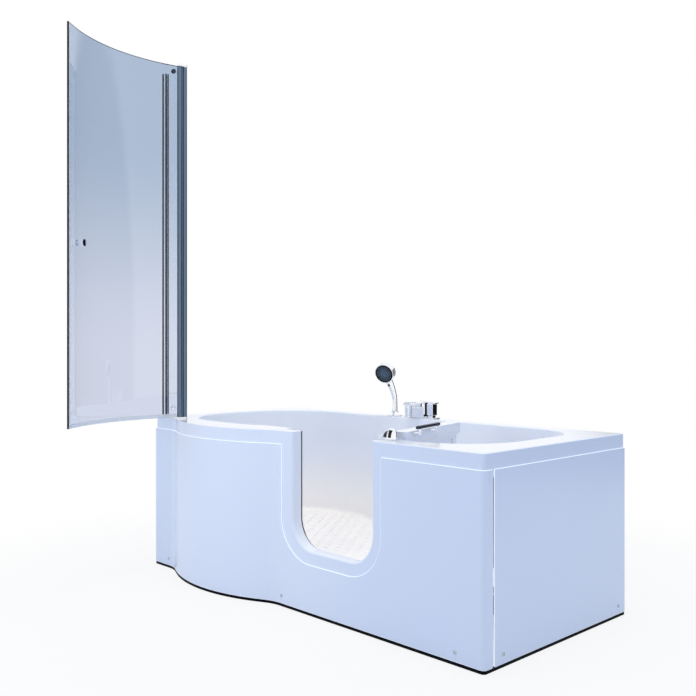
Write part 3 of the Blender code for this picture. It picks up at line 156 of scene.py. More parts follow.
# Floor: matt and pale around the bath, where it keeps a soft shadow, dim under it, and plain
# white further off. It lies a little low, so that it never cuts the floor seal's foot.
floor_radius, floor_drop = 4, 0.0006
shadow_near, shadow_far, shadow_tone = 0.9, 2.2, 0.86
under_long, under_wide, under_dim, under_clear = 0.835, 0.375, 0.35, 1.05
shape = bmesh.new()
bmesh.ops.create_circle(shape, cap_ends=True, segments=128, radius=floor_radius)
floor = as_object("studio_floor", shape)
floor.location.z = -floor_drop
floor_paint = bpy.data.materials.new("matt white studio paint")
floor_paint.use_nodes = True
tree = floor_paint.node_tree
shader = tree.nodes["Principled BSDF"]
shader.inputs["Base Color"].default_value = srgb("#cfd4de")
shader.inputs["Roughness"].default_value = 0.9
shader.inputs["Specular IOR Level"].default_value = 0.1
rays = add(tree, "ShaderNodeLightPath").outputs
spot = add(tree, "ShaderNodeNewGeometry").outputs["Position"]
away = add(tree, "ShaderNodeVectorMath", {0: spot}, operation="LENGTH").outputs["Value"]
fade = add(tree, "ShaderNodeMapRange", {"Value": away, "From Min": shadow_near, "From Max": shadow_far,
                                        "To Min": shadow_tone, "To Max": 1.0},
           interpolation_type="SMOOTHSTEP").outputs["Result"]
plan = add(tree, "ShaderNodeVectorMath", {0: spot, 1: (1 / under_long, 1 / under_wide, 0.0)},
           operation="MULTIPLY").outputs["Vector"]
plan = add(tree, "ShaderNodeVectorMath", {0: plan}, operation="ABSOLUTE").outputs["Vector"]
plan = add(tree, "ShaderNodeSeparateXYZ", {"Vector": plan}).outputs
beside = add(tree, "ShaderNodeMath", {0: plan["X"], 1: plan["Y"]},
             operation="MAXIMUM").outputs["Value"]
beside = add(tree, "ShaderNodeMapRange", {"Value": beside, "From Min": under_dim,
                                          "From Max": under_clear},
             interpolation_type="SMOOTHSTEP").outputs["Result"]
fade = add(tree, "ShaderNodeMath", {0: fade, 1: beside}, operation="MULTIPLY").outputs["Value"]
seen = add(tree, "ShaderNodeMath", {0: rays["Is Camera Ray"], 1: rays["Is Transmission Ray"]},
           operation="MAXIMUM").outputs["Value"]
seen = add(tree, "ShaderNodeMath", {0: seen, 1: rays["Is Glossy Ray"]},
           operation="MAXIMUM").outputs["Value"]
share = add(tree, "ShaderNodeMath", {0: seen, 1: fade}, operation="MULTIPLY").outputs["Value"]
glow = add(tree, "ShaderNodeEmission", {"Color": srgb("#ffffff"), "Strength": 1.0})
whole = add(tree, "ShaderNodeMixShader", {0: share, 1: shader.outputs[0], 2: glow.outputs[0]})
tree.links.new(whole.outputs[0], tree.nodes["Material Output"].inputs["Surface"])
floor.data.materials.append(floor_paint)
floor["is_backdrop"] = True

# Bath shell. One sheet of white acrylic, vacuum formed over a mould and backed with resin, so
# that every edge is soft: a flat deck with a short skirt, the basin, and the door's frame.
bath_length, bath_width, rim_height = 1.700, 0.780, 0.616
shell_wall, skirt_depth = 0.005, 0.070
front_y, back_y = -bath_width / 2, bath_width / 2
left_x, right_x = -bath_length / 2, bath_length / 2
bulge_x, bulge_half, bulge_apex = -0.392, 0.322, 0.146
basin_floor, cove, lip, edge_radius = 0.180, 0.020, 0.008, 0.004
door_left, door_right, door_sill, door_round = 0.029, 0.412, 0.218, 0.100
recess_left, recess_right, recess_sill, recess_round = -0.064, 0.463, 0.182, 0.020
recess_y, recess_back = -0.345, -0.220
plate_left, plate_right, plate_sill, plate_round = -0.047, 0.474, 0.152, 0.150
rebate_out, rebate_in, rebate_front, rebate_back = 0.0038, 0.004, -0.3508, -0.340


def rounded(corners, closed=True):
    """Plan points of corners (x, y, cut, steps), each rounded by an arc that starts a cut away."""
    points = []
    for index, (x, y, cut, steps) in enumerate(corners):
        here = Vector((x, y))
        if cut == 0 or (not closed and index in (0, len(corners) - 1)):
            points.append(here)
            continue
        before = (Vector(corners[index - 1][:2]) - here).normalized()
        after = (Vector(corners[(index + 1) % len(corners)][:2]) - here).normalized()
        weight = math.cos(before.angle(-after) / 2)
        for step in range(steps + 1):
            t = step / steps
            shares = ((1 - t) ** 2, 2 * weight * t * (1 - t), t ** 2)
            points.append(((here + before * cut) * shares[0] + here * shares[1]
                           + (here + after * cut) * shares[2]) / sum(shares))
    return points


def offset(points, distance, closed=True):
    """Moves plan points outward, square to the line, with mitred corners."""
    moved = []
    for index, here in enumerate(points):
        sides = []
        if closed or index > 0:
            sides.append((here - points[index - 1]).normalized())
        if closed or index < len(points) - 1:
            sides.append((points[(index + 1) % len(points)] - here).normalized())
        normals = [Vector((side.y, -side.x)) for side in sides]
        if len(normals) == 2:
            moved.append(here + (normals[0] + normals[1]) / (1 + normals[0].dot(normals[1])) * distance)
        else:
            moved.append(here + normals[0] * distance)
    return moved


def level(points, z):
    """Plan points at a height."""
    return [Vector((point.x, point.y, z)) for point in points]


def upright(points, y):
    """Front view points at a depth."""
    return [Vector((point.x, y, point.y)) for point in points]


def skin(shape, rings, looped=False):
    """Skins rings of equal count; the ends are capped unless the rings close on themselves."""
    rows = [[shape.verts.new(point) for point in ring] for ring in rings]
    for lower, upper in list(zip(rows, rows[1:])) + ([(rows[-1], rows[0])] if looped else []):
        for index in range(len(lower)):
            after = (index + 1) % len(lower)
            shape.faces.new((lower[index], lower[after], upper[after], upper[index]))
    if not looped:
        shape.faces.new(rows[0][::-1])
        shape.faces.new(rows[-1])


def loft(name, rings, looped=False):
    """A closed solid through rings of equal count."""
    shape = bmesh.new()
    skin(shape, rings, looped)
    bmesh.ops.remove_doubles(shape, verts=shape.verts, dist=1e-6)
    bmesh.ops.recalc_face_normals(shape, faces=shape.faces)
    return as_object(name, shape)


def prism_up(name, points, bottom, top):
    """A plan outline raised between two heights."""
    return loft(name, [level(points, bottom), level(points, top)])


def prism_back(name, points, front, back):
    """A front view outline between two depths."""
    return loft(name, [upright(points, front), upright(points, back)])


def circle(centre, across, third, radius, sides):
    """A ring of points round a centre, in the plane of two directions square to each other."""
    return [centre + (across * math.cos(2 * math.pi * turn / sides)
                      + third * math.sin(2 * math.pi * turn / sides)) * radius for turn in range(sides)]


def turned(name, centre, profile, sides=48, axis=Vector((0, 0, 1)), looped=False):
    """A turned solid from (radius, height) pairs along an axis; a looped profile is a ring."""
    across = Vector((0, 0, 1)).cross(axis)
    across = across.normalized() if across.length > 0.5 else Vector((1, 0, 0))
    third = axis.cross(across)
    return loft(name, [circle(centre + axis * height, across, third, radius, sides)
                       for radius, height in profile], looped)


def combine(item, operation, *tools):
    """Cuts or joins closed solids and leaves one plain mesh."""
    for tool in tools:
        change = item.modifiers.new(operation, "BOOLEAN")
        change.operation = operation
        change.solver = "MANIFOLD"
        change.object = tool
        seen = bpy.context.evaluated_depsgraph_get()
        mesh = bpy.data.meshes.new_from_object(item.evaluated_get(seen))
        item.modifiers.clear()
        item.data = mesh
        bpy.data.objects.remove(tool, do_unlink=True)
    return item


def dress(item, body, slot, finish, *replaced, edge=0.0, steps=2, angle=32):
    """Gives a rigid piece its finish, soft edges, its body and the node it stands for; the slot argument
    is not used.
    """
    item.data.materials.clear()
    for look in finish if isinstance(finish, list) else [finish]:
        item.data.materials.append(look)
    item.data.shade_smooth()
    item.data.set_sharp_from_angle(angle=math.radians(angle))
    if edge:
        bevel = item.modifiers.new("soft edges", "BEVEL")
        bevel.width = edge
        bevel.segments = steps
        bevel.limit_method = "ANGLE"
        bevel.angle_limit = math.radians(angle)
    normals = item.modifiers.new("even shading", "WEIGHTED_NORMAL")
    normals.keep_sharp = True
    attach(item, body)
    if replaced:
        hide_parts(*replaced)
    return item


def new_finish(name, colour, roughness, metallic=0.0, ior=None):
    """A material with its plain values; returns it with its tree and shader."""
    finish = bpy.data.materials.new(name)
    finish.use_nodes = True
    shader = finish.node_tree.nodes["Principled BSDF"]
    shader.inputs["Base Color"].default_value = srgb(colour)
    shader.inputs["Roughness"].default_value = roughness
    shader.inputs["Metallic"].default_value = metallic
    if ior:
        shader.inputs["IOR"].default_value = ior
    return finish, finish.node_tree, shader


def ripple(tree, shader, size, depth):
    """Bump from noise whose features are a size across and a depth high, in metres."""
    spot = add(tree, "ShaderNodeTexCoord").outputs["Object"]
    noise = add(tree, "ShaderNodeTexNoise", {"Vector": spot, "Scale": 1 / size, "Detail": 2.0})
    bump = add(tree, "ShaderNodeBump", {"Height": noise.outputs["Fac"], "Distance": depth,
                                        "Strength": 0.5})
    tree.links.new(bump.outputs["Normal"], shader.inputs["Normal"])
    return noise.outputs["Fac"]


def panel_tone_and_bulge_light(tree):
    """The outer faces' cool white, painted paler along the formed bulge as light where it faces the
    lamp.
    """
    spot = add(tree, "ShaderNodeTexCoord").outputs["Object"]
    across = add(tree, "ShaderNodeSeparateXYZ", {"Vector": spot}).outputs["X"]
    rise, fall = (add(tree, "ShaderNodeMapRange", {"Value": across, "From Min": low, "From Max": high},
                      interpolation_type="SMOOTHSTEP").outputs["Result"]
                  for low, high in ((-0.68, -0.45), (0.46, 0.0)))
    pale = add(tree, "ShaderNodeMath", {0: rise, 1: fall}, operation="MULTIPLY").outputs["Value"]
    return add(tree, "ShaderNodeMix", {"Factor": pale, "A": srgb("#dde6f6"), "B": srgb("#e4ebf8")},
               data_type="RGBA").outputs["Result"]


def vary(tree, shader, socket, factor, low, high):
    """Lets a shader value follow a pattern between two numbers or two colours."""
    if isinstance(low, str):
        result = add(tree, "ShaderNodeMix", {"Factor": factor, "A": srgb(low), "B": srgb(high)},
                     data_type="RGBA")
    else:
        result = add(tree, "ShaderNodeMapRange", {"Value": factor, "To Min": low, "To Max": high})
    tree.links.new(result.outputs["Result"], shader.inputs[socket])


# Cast acrylic: hard gloss over a faint orange peel of about 4 mm, cool white. Down the basin it is
# painted warmer and brighter, a painted pool of warm light on the floor, and its upright outer faces
# take the panels' darker colour as painted side shade. The door's frame keeps the cool white.
floor_light_low, floor_light_high, frame_y = 0.185, 0.50, -0.346
outer_front, outer_right = -0.3855, 0.8455
acrylic, tree, shader = new_finish("vacuum formed white acrylic", "#e9effa", 0.14, ior=1.49)
ripple(tree, shader, 0.004, 0.00003)
spot = add(tree, "ShaderNodeTexCoord").outputs["Object"]
across = add(tree, "ShaderNodeSeparateXYZ", {"Vector": spot}).outputs
cloud = add(tree, "ShaderNodeTexNoise", {"Vector": spot, "Scale": 1 / 0.25, "Detail": 3.0})
vary(tree, shader, "Roughness", cloud.outputs["Fac"], 0.10, 0.20)
# Painted light: the basin turns warmer and brighter towards its floor.
cool = add(tree, "ShaderNodeMapRange", {"Value": across["Z"], "From Min": floor_light_low,
                                        "From Max": floor_light_high},
           interpolation_type="SMOOTHSTEP").outputs["Result"]
jambs = add(tree, "ShaderNodeMath", {0: across["Y"], 1: frame_y},
            operation="LESS_THAN").outputs["Value"]
cool = add(tree, "ShaderNodeMath", {0: cool, 1: jambs}, operation="MAXIMUM").outputs["Value"]
inner = add(tree, "ShaderNodeMix", {"Factor": cool, "A": srgb("#fffdfb"), "B": srgb("#e9eef8")},
            data_type="RGBA").outputs["Result"]
slope = add(tree, "ShaderNodeNewGeometry").outputs["Normal"]
slope = add(tree, "ShaderNodeSeparateXYZ", {"Vector": slope}).outputs["Z"]
# Painted shade: upright outer faces take the panels' darker colour, while tops stay white.
side_shade = add(tree, "ShaderNodeMath", {0: slope}, operation="ABSOLUTE").outputs["Value"]
side_shade = add(tree, "ShaderNodeMapRange", {"Value": side_shade, "From Min": 0.8, "From Max": 0.4},
            interpolation_type="SMOOTHSTEP").outputs["Result"]
front = add(tree, "ShaderNodeMath", {0: across["Y"], 1: outer_front},
            operation="LESS_THAN").outputs["Value"]
right = add(tree, "ShaderNodeMath", {0: across["X"], 1: outer_right},
            operation="GREATER_THAN").outputs["Value"]
outer = add(tree, "ShaderNodeMath", {0: front, 1: right}, operation="MAXIMUM").outputs["Value"]
outer = add(tree, "ShaderNodeMath", {0: outer, 1: side_shade}, operation="MULTIPLY").outputs["Value"]
tone = add(tree, "ShaderNodeMix", {"Factor": outer, "A": inner, "B": panel_tone_and_bulge_light(tree)},
           data_type="RGBA").outputs["Result"]
tree.links.new(tone, shader.inputs["Base Color"])

bath_outline = rounded([
    (left_x, front_y, 0.007, 6), (bulge_x - bulge_half, front_y, 0.030, 10),
    (bulge_x, front_y - bulge_apex, 0.280, 48), (bulge_x + bulge_half, front_y, 0.035, 10),
    (right_x, front_y, 0.010, 8), (right_x, back_y, 0.007, 6), (left_x, back_y, 0.007, 6)])


def basin_outline(fall):
    """The basin's wall in plan, from the rim (0) to the floor (1)."""
    left, right = left_x + 0.050 + 0.045 * fall, right_x - 0.113 - 0.137 * fall
    bay_front, front = front_y + 0.054 + 0.032 * fall, front_y + 0.093 + 0.032 * fall
    bay_back, back = back_y - 0.070 - 0.025 * fall, back_y - 0.070 - 0.103 * fall
    growth = 0.050 * fall
    return rounded([
        (left, bay_front, 0.260 - growth / 2, 24), (-0.330, bay_front, 0.060, 9),
        (-0.215, front, 0.060, 9), (right, front, 0.235 - growth, 24),
        (right, back, 0.170 - growth / 2, 20), (-0.120, back, 0.120, 12),
        (-0.320, bay_back, 0.068, 9), (left, bay_back, 0.300 + growth, 28)])


def quarter(steps):
    """Angles of a quarter turn in even steps."""
    return [math.pi / 2 * step / steps for step in range(steps + 1)]


def basin_rings(thickness, top):
    """Rings of the basin from its floor up, grown outward by a thickness."""
    rings = []
    radius = cove + thickness
    for angle in quarter(10):
        ring = offset(basin_outline(1), radius * math.sin(angle) - cove)
        rings.append(level(ring, basin_floor + cove - radius * math.cos(angle)))
    upper = basin_outline(0)
    if thickness:
        return rings + [level(offset(upper, thickness), top)]
    for angle in quarter(8):
        rings.append(level(offset(upper, lip * (1 - math.cos(angle))),
                           rim_height - lip + lip * math.sin(angle)))
    return rings + [level(offset(upper, lip), top)]


def door_outline(left, right, bottom, cut, top, steps=18):
    """A U seen from the front, from its top left corner to its top right corner."""
    return rounded([(left, top, 0, 0), (left, bottom, cut, steps),
                    (right, bottom, cut, steps), (right, top, 0, 0)])


rings = [level(bath_outline, rim_height - skirt_depth)]
for angle in quarter(7):
    rings.append(level(offset(bath_outline, -edge_radius * (1 - math.cos(angle))),
                       rim_height - edge_radius + edge_radius * math.sin(angle)))
bath = loft("bath_shell_fine", rings)
under = rim_height - shell_wall
inside = rim_height - shell_wall / 2
above = rim_height + 0.02
combine(bath, "DIFFERENCE", prism_up("hollow", offset(bath_outline, -shell_wall),
                                     rim_height - skirt_depth - 0.02, under))
step_back = 0.0002
frame_front = front_y + step_back
bead = 0.015
combine(bath, "UNION",
        loft("basin", basin_rings(shell_wall, inside)),
        prism_back("recess_box", door_outline(recess_left - shell_wall, recess_right + shell_wall,
                                              recess_sill - shell_wall, recess_round, inside),
                   recess_y - shell_wall, recess_back),
        prism_back("frame_plate", door_outline(plate_left, plate_right, plate_sill, plate_round,
                                               inside), frame_front, frame_front + shell_wall),
        prism_back("bead", door_outline(door_left - bead, door_right + bead, door_sill - bead,
                                        door_round, inside), frame_front + step_back, front_y + bead),
        prism_back("tunnel", door_outline(door_left - shell_wall, door_right + shell_wall,
                                          door_sill - shell_wall, door_round, inside),
                   frame_front + 2 * step_back, recess_y - step_back))
jamb_radius = 0.010
door_u = door_outline(door_left, door_right, door_sill, door_round, above)
rings = [upright(offset(door_u, jamb_radius), front_y - 0.02)]
for angle in quarter(7):
    rings.append(upright(offset(door_u, jamb_radius * (1 - math.sin(angle))),
                         front_y + jamb_radius * (1 - math.cos(angle))))
rings.append(upright(door_u, recess_y + shell_wall))
wall_up = Vector((0.137, 0, rim_height - lip - basin_floor - cove)).normalized()
wall_in = Vector((-wall_up.z, 0, wall_up.x))
overflow = Vector((0.700735, 0, 0.5))
waste = Vector((0.200, 0, 0))
combine(bath, "DIFFERENCE",
        loft("basin_space", basin_rings(0, above)),
        prism_back("recess_space", door_outline(recess_left, recess_right, recess_sill, recess_round,
                                                above), recess_y, recess_back),
        prism_back("gasket_space", offset(door_u, rebate_out, closed=False)
                   + offset(door_u, -rebate_in, closed=False)[::-1], rebate_front, rebate_back),
        loft("opening_space", rings),
        turned("waste_hole", waste, [(0.026, 0.10), (0.026, 0.20)]),
        turned("overflow_hole", overflow, [(0.016, -0.02), (0.016, 0.02)], 32, wall_in))
dress(bath, "bath", "acrylic", acrylic, "bath_shell", "door_frame", angle=28)

# Anti-slip ribs. Low bars of the same acrylic, pressed into the basin's floor in staggered rows
# along the bath, 22 mm long and 0.8 mm high. They stop short of the wall's cove and of the waste,
# look a little duller than the floor, and are painted darker and warmer as shade at their edges.
rib_long, rib_wide, rib_high, rib_sunk = 0.022, 0.006, 0.0008, 0.0003
rib_step_x, rib_step_y, rib_margin, waste_margin = 0.050, 0.034, 0.020, 0.055
square = ((-1, -1), (1, -1), (1, 1), (-1, 1))
rib_shaded_finish, tree, shader = new_finish("acrylic rib with painted shade", "#e6dcd6", 0.30, ior=1.49)
cloud = ripple(tree, shader, 0.002, 0.00002)
# Painted shade: the ribs' colour is darker and warmer than the floor's.
vary(tree, shader, "Base Color", cloud, "#efe7e2", "#f9f4f0")
floor_edge = offset(basin_outline(1), -cove - rib_margin)


def within(point, outline):
    """Whether a plan point lies inside a closed outline."""
    inside_it = False
    for here, after in zip(outline, outline[1:] + outline[:1]):
        if (here.y > point.y) != (after.y > point.y):
            if point.x < here.x + (after.x - here.x) * (point.y - here.y) / (after.y - here.y):
                inside_it = not inside_it
    return inside_it


shape = bmesh.new()
rib_plan = rounded([(side * rib_long / 2, end * rib_wide / 2, rib_wide / 2, 3)
                    for side, end in square])
rib_rows = [level(rib_plan, basin_floor - rib_sunk),
            level(offset(rib_plan, -rib_high / 3), basin_floor + rib_high * 0.6),
            level(offset(rib_plan, -rib_high), basin_floor + rib_high)]
for row in range(-12, 12):
    for column in range(-24, 18):
        place = Vector(((column + (row % 2) / 2) * rib_step_x, row * rib_step_y, 0))
        if within(place, floor_edge) and (place.xy - waste.xy).length >= waste_margin:
            skin(shape, [[point + place for point in loop] for loop in rib_rows])
bmesh.ops.recalc_face_normals(shape, faces=shape.faces)
ribs = as_object("floor_ribs", shape)
dress(ribs, "bath", "acrylic", rib_shaded_finish, angle=40)

# Door gasket. An extruded EPDM strip in a rebate of the jambs and the sill, where the closed
# door presses on it; it looks matt charcoal with a dull edge. On the sill it lies sunk.
gasket_deep, gasket_proud, gasket_sunk = 0.0035, 0.0005, 0.0018
gasket_front, gasket_back, gasket_sinks, gasket_blend = -0.3505, -0.3455, 0.045, 0.012
epdm, tree, shader = new_finish("extruded EPDM rubber", "#191b20", 0.62)
grain = ripple(tree, shader, 0.0015, 0.00005)
vary(tree, shader, "Roughness", grain, 0.5, 0.75)
gasket_path = door_outline(door_left, door_right, door_sill, door_round, rim_height - 0.0003, 28)
gasket_face = []
for proud, sunk in zip(offset(gasket_path, -gasket_proud, closed=False),
                       offset(gasket_path, gasket_sunk, closed=False)):
    low_share = (door_sill + gasket_sinks - proud.y) / gasket_blend
    gasket_face.append(proud.lerp(sunk, min(max(low_share, 0.0), 1.0)))
gasket = prism_back("door_gasket_fine", offset(gasket_path, gasket_deep, closed=False)
                    + gasket_face[::-1], gasket_front, gasket_back)
dress(gasket, "bath", "grey_rubber", epdm, "door_gasket", edge=0.0008)

# Panels. Acrylic sheet 3.5 mm thick, formed round the bulge and the front corner and screwed to
# battens. Their sawn edges are rounded and polished, and are painted near white with a faint glow
# as a painted highlight, so that they read as a thin white line.
panel_acrylic, tree, shader = new_finish("bonded panel acrylic", "#d3dffa", 0.20, ior=1.49)
ripple(tree, shader, 0.006, 0.00004)
spot = add(tree, "ShaderNodeTexCoord").outputs["Object"]
cloud = add(tree, "ShaderNodeTexNoise", {"Vector": spot, "Scale": 1 / 0.4, "Detail": 2.0})
vary(tree, shader, "Roughness", cloud.outputs["Fac"], 0.16, 0.26)
# Painted light: the panels are paler along the bulge.
tree.links.new(panel_tone_and_bulge_light(tree), shader.inputs["Base Color"])
glowing_edge, tree, shader = new_finish("polished acrylic edge with painted glow", "#f8fbff", 0.12, ior=1.49)
# Painted highlight: the edge glows a little, though it is no lamp.
shader.inputs["Emission Color"].default_value = srgb("#eaf3ff")
shader.inputs["Emission Strength"].default_value = 0.28
speck = ripple(tree, shader, 0.001, 0.00001)
vary(tree, shader, "Roughness", speck, 0.08, 0.2)

panel_gap, panel_thick, panel_top, panel_foot = 0.0003, 0.0035, 0.569, 0.0103
front_return, end_starts = 0.0385, 0.0435
notch_left, notch_right, notch_sill, notch_round = -0.027, 0.454, 0.172, 0.150
front_path = rounded([
    (left_x, front_y, 0, 0), (bulge_x - bulge_half, front_y, 0.030, 10),
    (bulge_x, front_y - bulge_apex, 0.280, 48), (bulge_x + bulge_half, front_y, 0.035, 10),
    (right_x, front_y, 0.010, 8), (right_x, front_y + front_return, 0, 0)], closed=False)


def strip(path, inner, outer):
    """Outline of a strip between two offsets of an open path."""
    return offset(path, outer, closed=False) + offset(path, inner, closed=False)[::-1]


def swept(name, path, radii, sides=32):
    """A round bar along a path, with a radius at each point."""
    rings, across = [], None
    for index, here in enumerate(path):
        along = (path[min(index + 1, len(path) - 1)] - path[max(index - 1, 0)]).normalized()
        if across is None:
            across = along.orthogonal()
        across = (across - along * across.dot(along)).normalized()
        rings.append(circle(here, across, along.cross(across), radii[index], sides))
    return loft(name, rings)


def run_at(line, x):
    """The run along a plan line at which it reaches an x."""
    run = 0.0
    for here, after in zip(line, line[1:]):
        if here.x <= x <= after.x:
            return run + (after - here).length * (x - here.x) / (after.x - here.x)
        run += (after - here).length
    return run


def edge_bead(name, line, corners):
    """A sheet's round edge: corners (run, height, cut, steps) laid on a plan line."""
    border = rounded(corners)
    border.append(border[0])
    path = []
    for here, after in zip(border, border[1:]):
        count = max(1, math.ceil((after - here).length / 0.010))
        for step in range(count):
            spot = here + (after - here) * step / count
            run = spot.x
            for start, stop in zip(line, line[1:]):
                length = (stop - start).length
                if run <= length or stop is line[-1]:
                    place = start + (stop - start) * run / length
                    break
                run -= length
            path.append(Vector((place.x, place.y, spot.y)))
    path += path[:2]
    bead = swept(name, path, [edge_half] * len(path), 12)
    dress(bead, "bath", "panel_acrylic", glowing_edge, angle=80)


edge_half = panel_thick / 2
high, low = panel_top - edge_half, panel_foot + edge_half
front = prism_up("front_panel_fine", strip(front_path, panel_gap, panel_gap + panel_thick), low, high)
notch = door_outline(notch_left - edge_half, notch_right + edge_half, notch_sill - edge_half,
                     notch_round, panel_top, 24)
combine(front, "DIFFERENCE", prism_back("notch", notch, front_y - 0.02, front_y + 0.02),
        prism_up("joint_cut", [Vector((right_x + x, front_y + y)) for x, y in (
            (-0.01, front_return - edge_half), (0.01, front_return - edge_half), (0.01, 0.06),
            (-0.01, 0.06))], 0.0, rim_height))
dress(front, "bath", "panel_acrylic", panel_acrylic, "front_panel")
front_line = offset(front_path, panel_gap + edge_half, closed=False)
front_end = run_at(front_line, math.inf) - edge_half
start, stop = (run_at(front_line, x) for x in (notch_left - edge_half, notch_right + edge_half))
edge_bead("front_panel_edge", front_line, [
    (edge_half, low, 0.003, 3), (edge_half, high, 0.003, 3), (start, high, 0.002, 3),
    (start, notch_sill - edge_half, notch_round, 24), (stop, notch_sill - edge_half, notch_round, 24),
    (stop, high, 0.002, 3), (front_end, high, 0.003, 3), (front_end, low, 0.003, 3)])
end_line = [Vector((right_x + panel_gap + edge_half, y)) for y in (front_y + end_starts, back_y)]
end_run = (end_line[1] - end_line[0]).length - edge_half
end = prism_up("end_panel_fine", [Vector(pair) for pair in (
    (right_x + panel_gap, end_line[0].y + edge_half),
    (right_x + panel_gap + panel_thick, end_line[0].y + edge_half),
    (right_x + panel_gap + panel_thick, back_y - edge_half),
    (right_x + panel_gap, back_y - edge_half))], low, high)
dress(end, "bath", "panel_acrylic", panel_acrylic, "end_panel")
edge_bead("end_panel_edge", end_line, [
    (edge_half, low, 0.003, 3), (edge_half, high, 0.003, 3), (end_run, high, 0.003, 3),
    (end_run, low, 0.003, 3)])

# Panel screws. Stainless pan heads, turned and cross slotted, 12 mm across, that hold the panels
# to their battens. Turning leaves fine marks of 0.6 mm, which give a soft grey sheen.
slot_long, slot_wide, slot_floor = 0.0034, 0.0006, 0.0009
stainless, tree, shader = new_finish("turned stainless steel", "#b9bfca", 0.28, metallic=1.0)
lathe = ripple(tree, shader, 0.0006, 0.00002)
vary(tree, shader, "Roughness", lathe, 0.2, 0.36)
for number in range(1, 6):
    low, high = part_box(f"panel_screw_{number}")
    out = Vector((0, -1, 0)) if number < 4 else Vector((1, 0, 0))
    centre = (low + high) / 2
    seat = centre + out * (abs((high - low).dot(out)) / 2 - 0.002)
    head = turned(f"screw_head_{number}", seat, [(0.0025, -0.012), (0.0025, 0.0), (0.006, 0.0),
                                                 (0.006, 0.0006), (0.0052, 0.0014), (0.0036, 0.0019),
                                                 (0.0012, 0.002)], 24, out)
    side = Vector((0, 0, 1)).cross(out)
    for across, along in ((side, Vector((0, 0, 1))), (Vector((0, 0, 1)), side)):
        ring = [seat + across * a * slot_long + along * b * slot_wide for a, b in square]
        combine(head, "DIFFERENCE", loft("slot", [[point + out * height for point in ring]
                                                  for height in (slot_floor, 0.004)]))
    dress(head, "bath", "chrome", stainless, f"panel_screw_{number}")

# Floor seal. A solid strip of black rubber, extruded and pressed under the panels, which closes the
# gap to the floor. It is kept near black with next to no highlight, as painted contact shadow.
seal_inside, seal_outside, seal_high = -0.0072, 0.0028, 0.010
black_rubber, tree, shader = new_finish("black rubber strip and painted contact shadow", "#03060d", 0.55)
grain = ripple(tree, shader, 0.002, 0.00004)
vary(tree, shader, "Roughness", grain, 0.45, 0.65)
shader.inputs["Specular IOR Level"].default_value = 0.05
seal_path = front_path[:-1] + [Vector((right_x, back_y - 0.002))]
seal = prism_up("floor_seal_fine", strip(seal_path, seal_inside, seal_outside), 0.0, seal_high)
dress(seal, "bath", "black_rubber", black_rubber, "floor_seal", edge=0.001)

# Underframe, feet, battens and the plate under the taps. Hot-dip galvanised steel: a dull grey
# skin with zinc flowers about 15 mm across, each a little lighter or duller than the next.
galvanised, tree, shader = new_finish("hot-dip galvanised steel", "#a9adb2", 0.42, metallic=1.0)
spot = add(tree, "ShaderNodeTexCoord").outputs["Object"]
flower = add(tree, "ShaderNodeTexVoronoi", {"Vector": spot, "Scale": 1 / 0.015})
tone = add(tree, "ShaderNodeSeparateColor", {"Color": flower.outputs["Color"]}).outputs["Red"]
vary(tree, shader, "Roughness", tone, 0.32, 0.55)
vary(tree, shader, "Base Color", tone, "#9a9ea4", "#b9bdc2")


def coat(finish, *names):
    """Gives pieces that keep the frame's own mesh their finish."""
    for name in names:
        nodes[name].data.materials.clear()
        nodes[name].data.materials.append(finish)


coat(galvanised, "rail_front", "rail_back", "bar_left", "bar_middle", "bar_right", "bar_end",
     "foot_centre", "foot_front_left", "foot_front_right", "foot_back_left", "foot_back_right",
     "front_batten", "end_batten", "deck_plate", "hinge_rod")

# Waste and overflow behind the basin. Injection moulded polypropylene: satin white with a faint
# moulded grain.
polypropylene, tree, shader = new_finish("moulded polypropylene", "#e4e6e8", 0.38)
grain = ripple(tree, shader, 0.0012, 0.00003)
vary(tree, shader, "Roughness", grain, 0.32, 0.48)
coat(polypropylene, "waste_trap", "waste_pipe", "overflow_body")

# Waste flange, plug and overflow knob. Brass, polished and chromium plated: a near mirror with a
# faint haze, dark where it mirrors the doorway of the room.
chrome, tree, shader = new_finish("bright chromium plate", "#f6f8fc", 0.04, metallic=1.0)
haze = add(tree, "ShaderNodeTexNoise", {"Vector": add(tree, "ShaderNodeTexCoord").outputs["Object"],
                                        "Scale": 1 / 0.008, "Detail": 3.0})
vary(tree, shader, "Roughness", haze.outputs["Fac"], 0.02, 0.06)
flange = turned("waste_flange_fine", waste, [
    (0.0257, 0.1495), (0.0257, 0.1803), (0.035, 0.1803), (0.0348, 0.1812), (0.0338, 0.1822),
    (0.0318, 0.1828), (0.0240, 0.1828), (0.0229, 0.1818), (0.0227, 0.1495)], 56, looped=True)
dress(flange, "bath", "chrome", chrome, "waste_flange")
plug = turned("waste_plug_fine", waste, [
    (0.004, 0.1495), (0.004, 0.1831), (0.0285, 0.1831), (0.030, 0.1838), (0.0298, 0.1851),
    (0.028, 0.1862), (0.022, 0.1873), (0.012, 0.1880), (0.002, 0.1881)], 56)
dress(plug, "plug", "chrome", chrome, "waste_plug")
knob = turned("overflow_knob_fine", overflow, [
    (0.005, -0.040), (0.005, 0.0003), (0.0325, 0.0003), (0.034, 0.0015), (0.034, 0.0085),
    (0.033, 0.0108), (0.0305, 0.0120), (0.012, 0.0124), (0.002, 0.0125)], 56, wall_in)
grip_wide, grip_long = 0.004, 0.028
grip = [overflow + Vector((0, a * grip_wide, 0)) + wall_up * b * grip_long for a, b in square]
combine(knob, "UNION", loft("grip", [[point + wall_in * height for point in grip]
                                     for height in (0.009, 0.018)]))
dress(knob, "overflow", "chrome", chrome, "overflow_knob", edge=0.0012, steps=3)

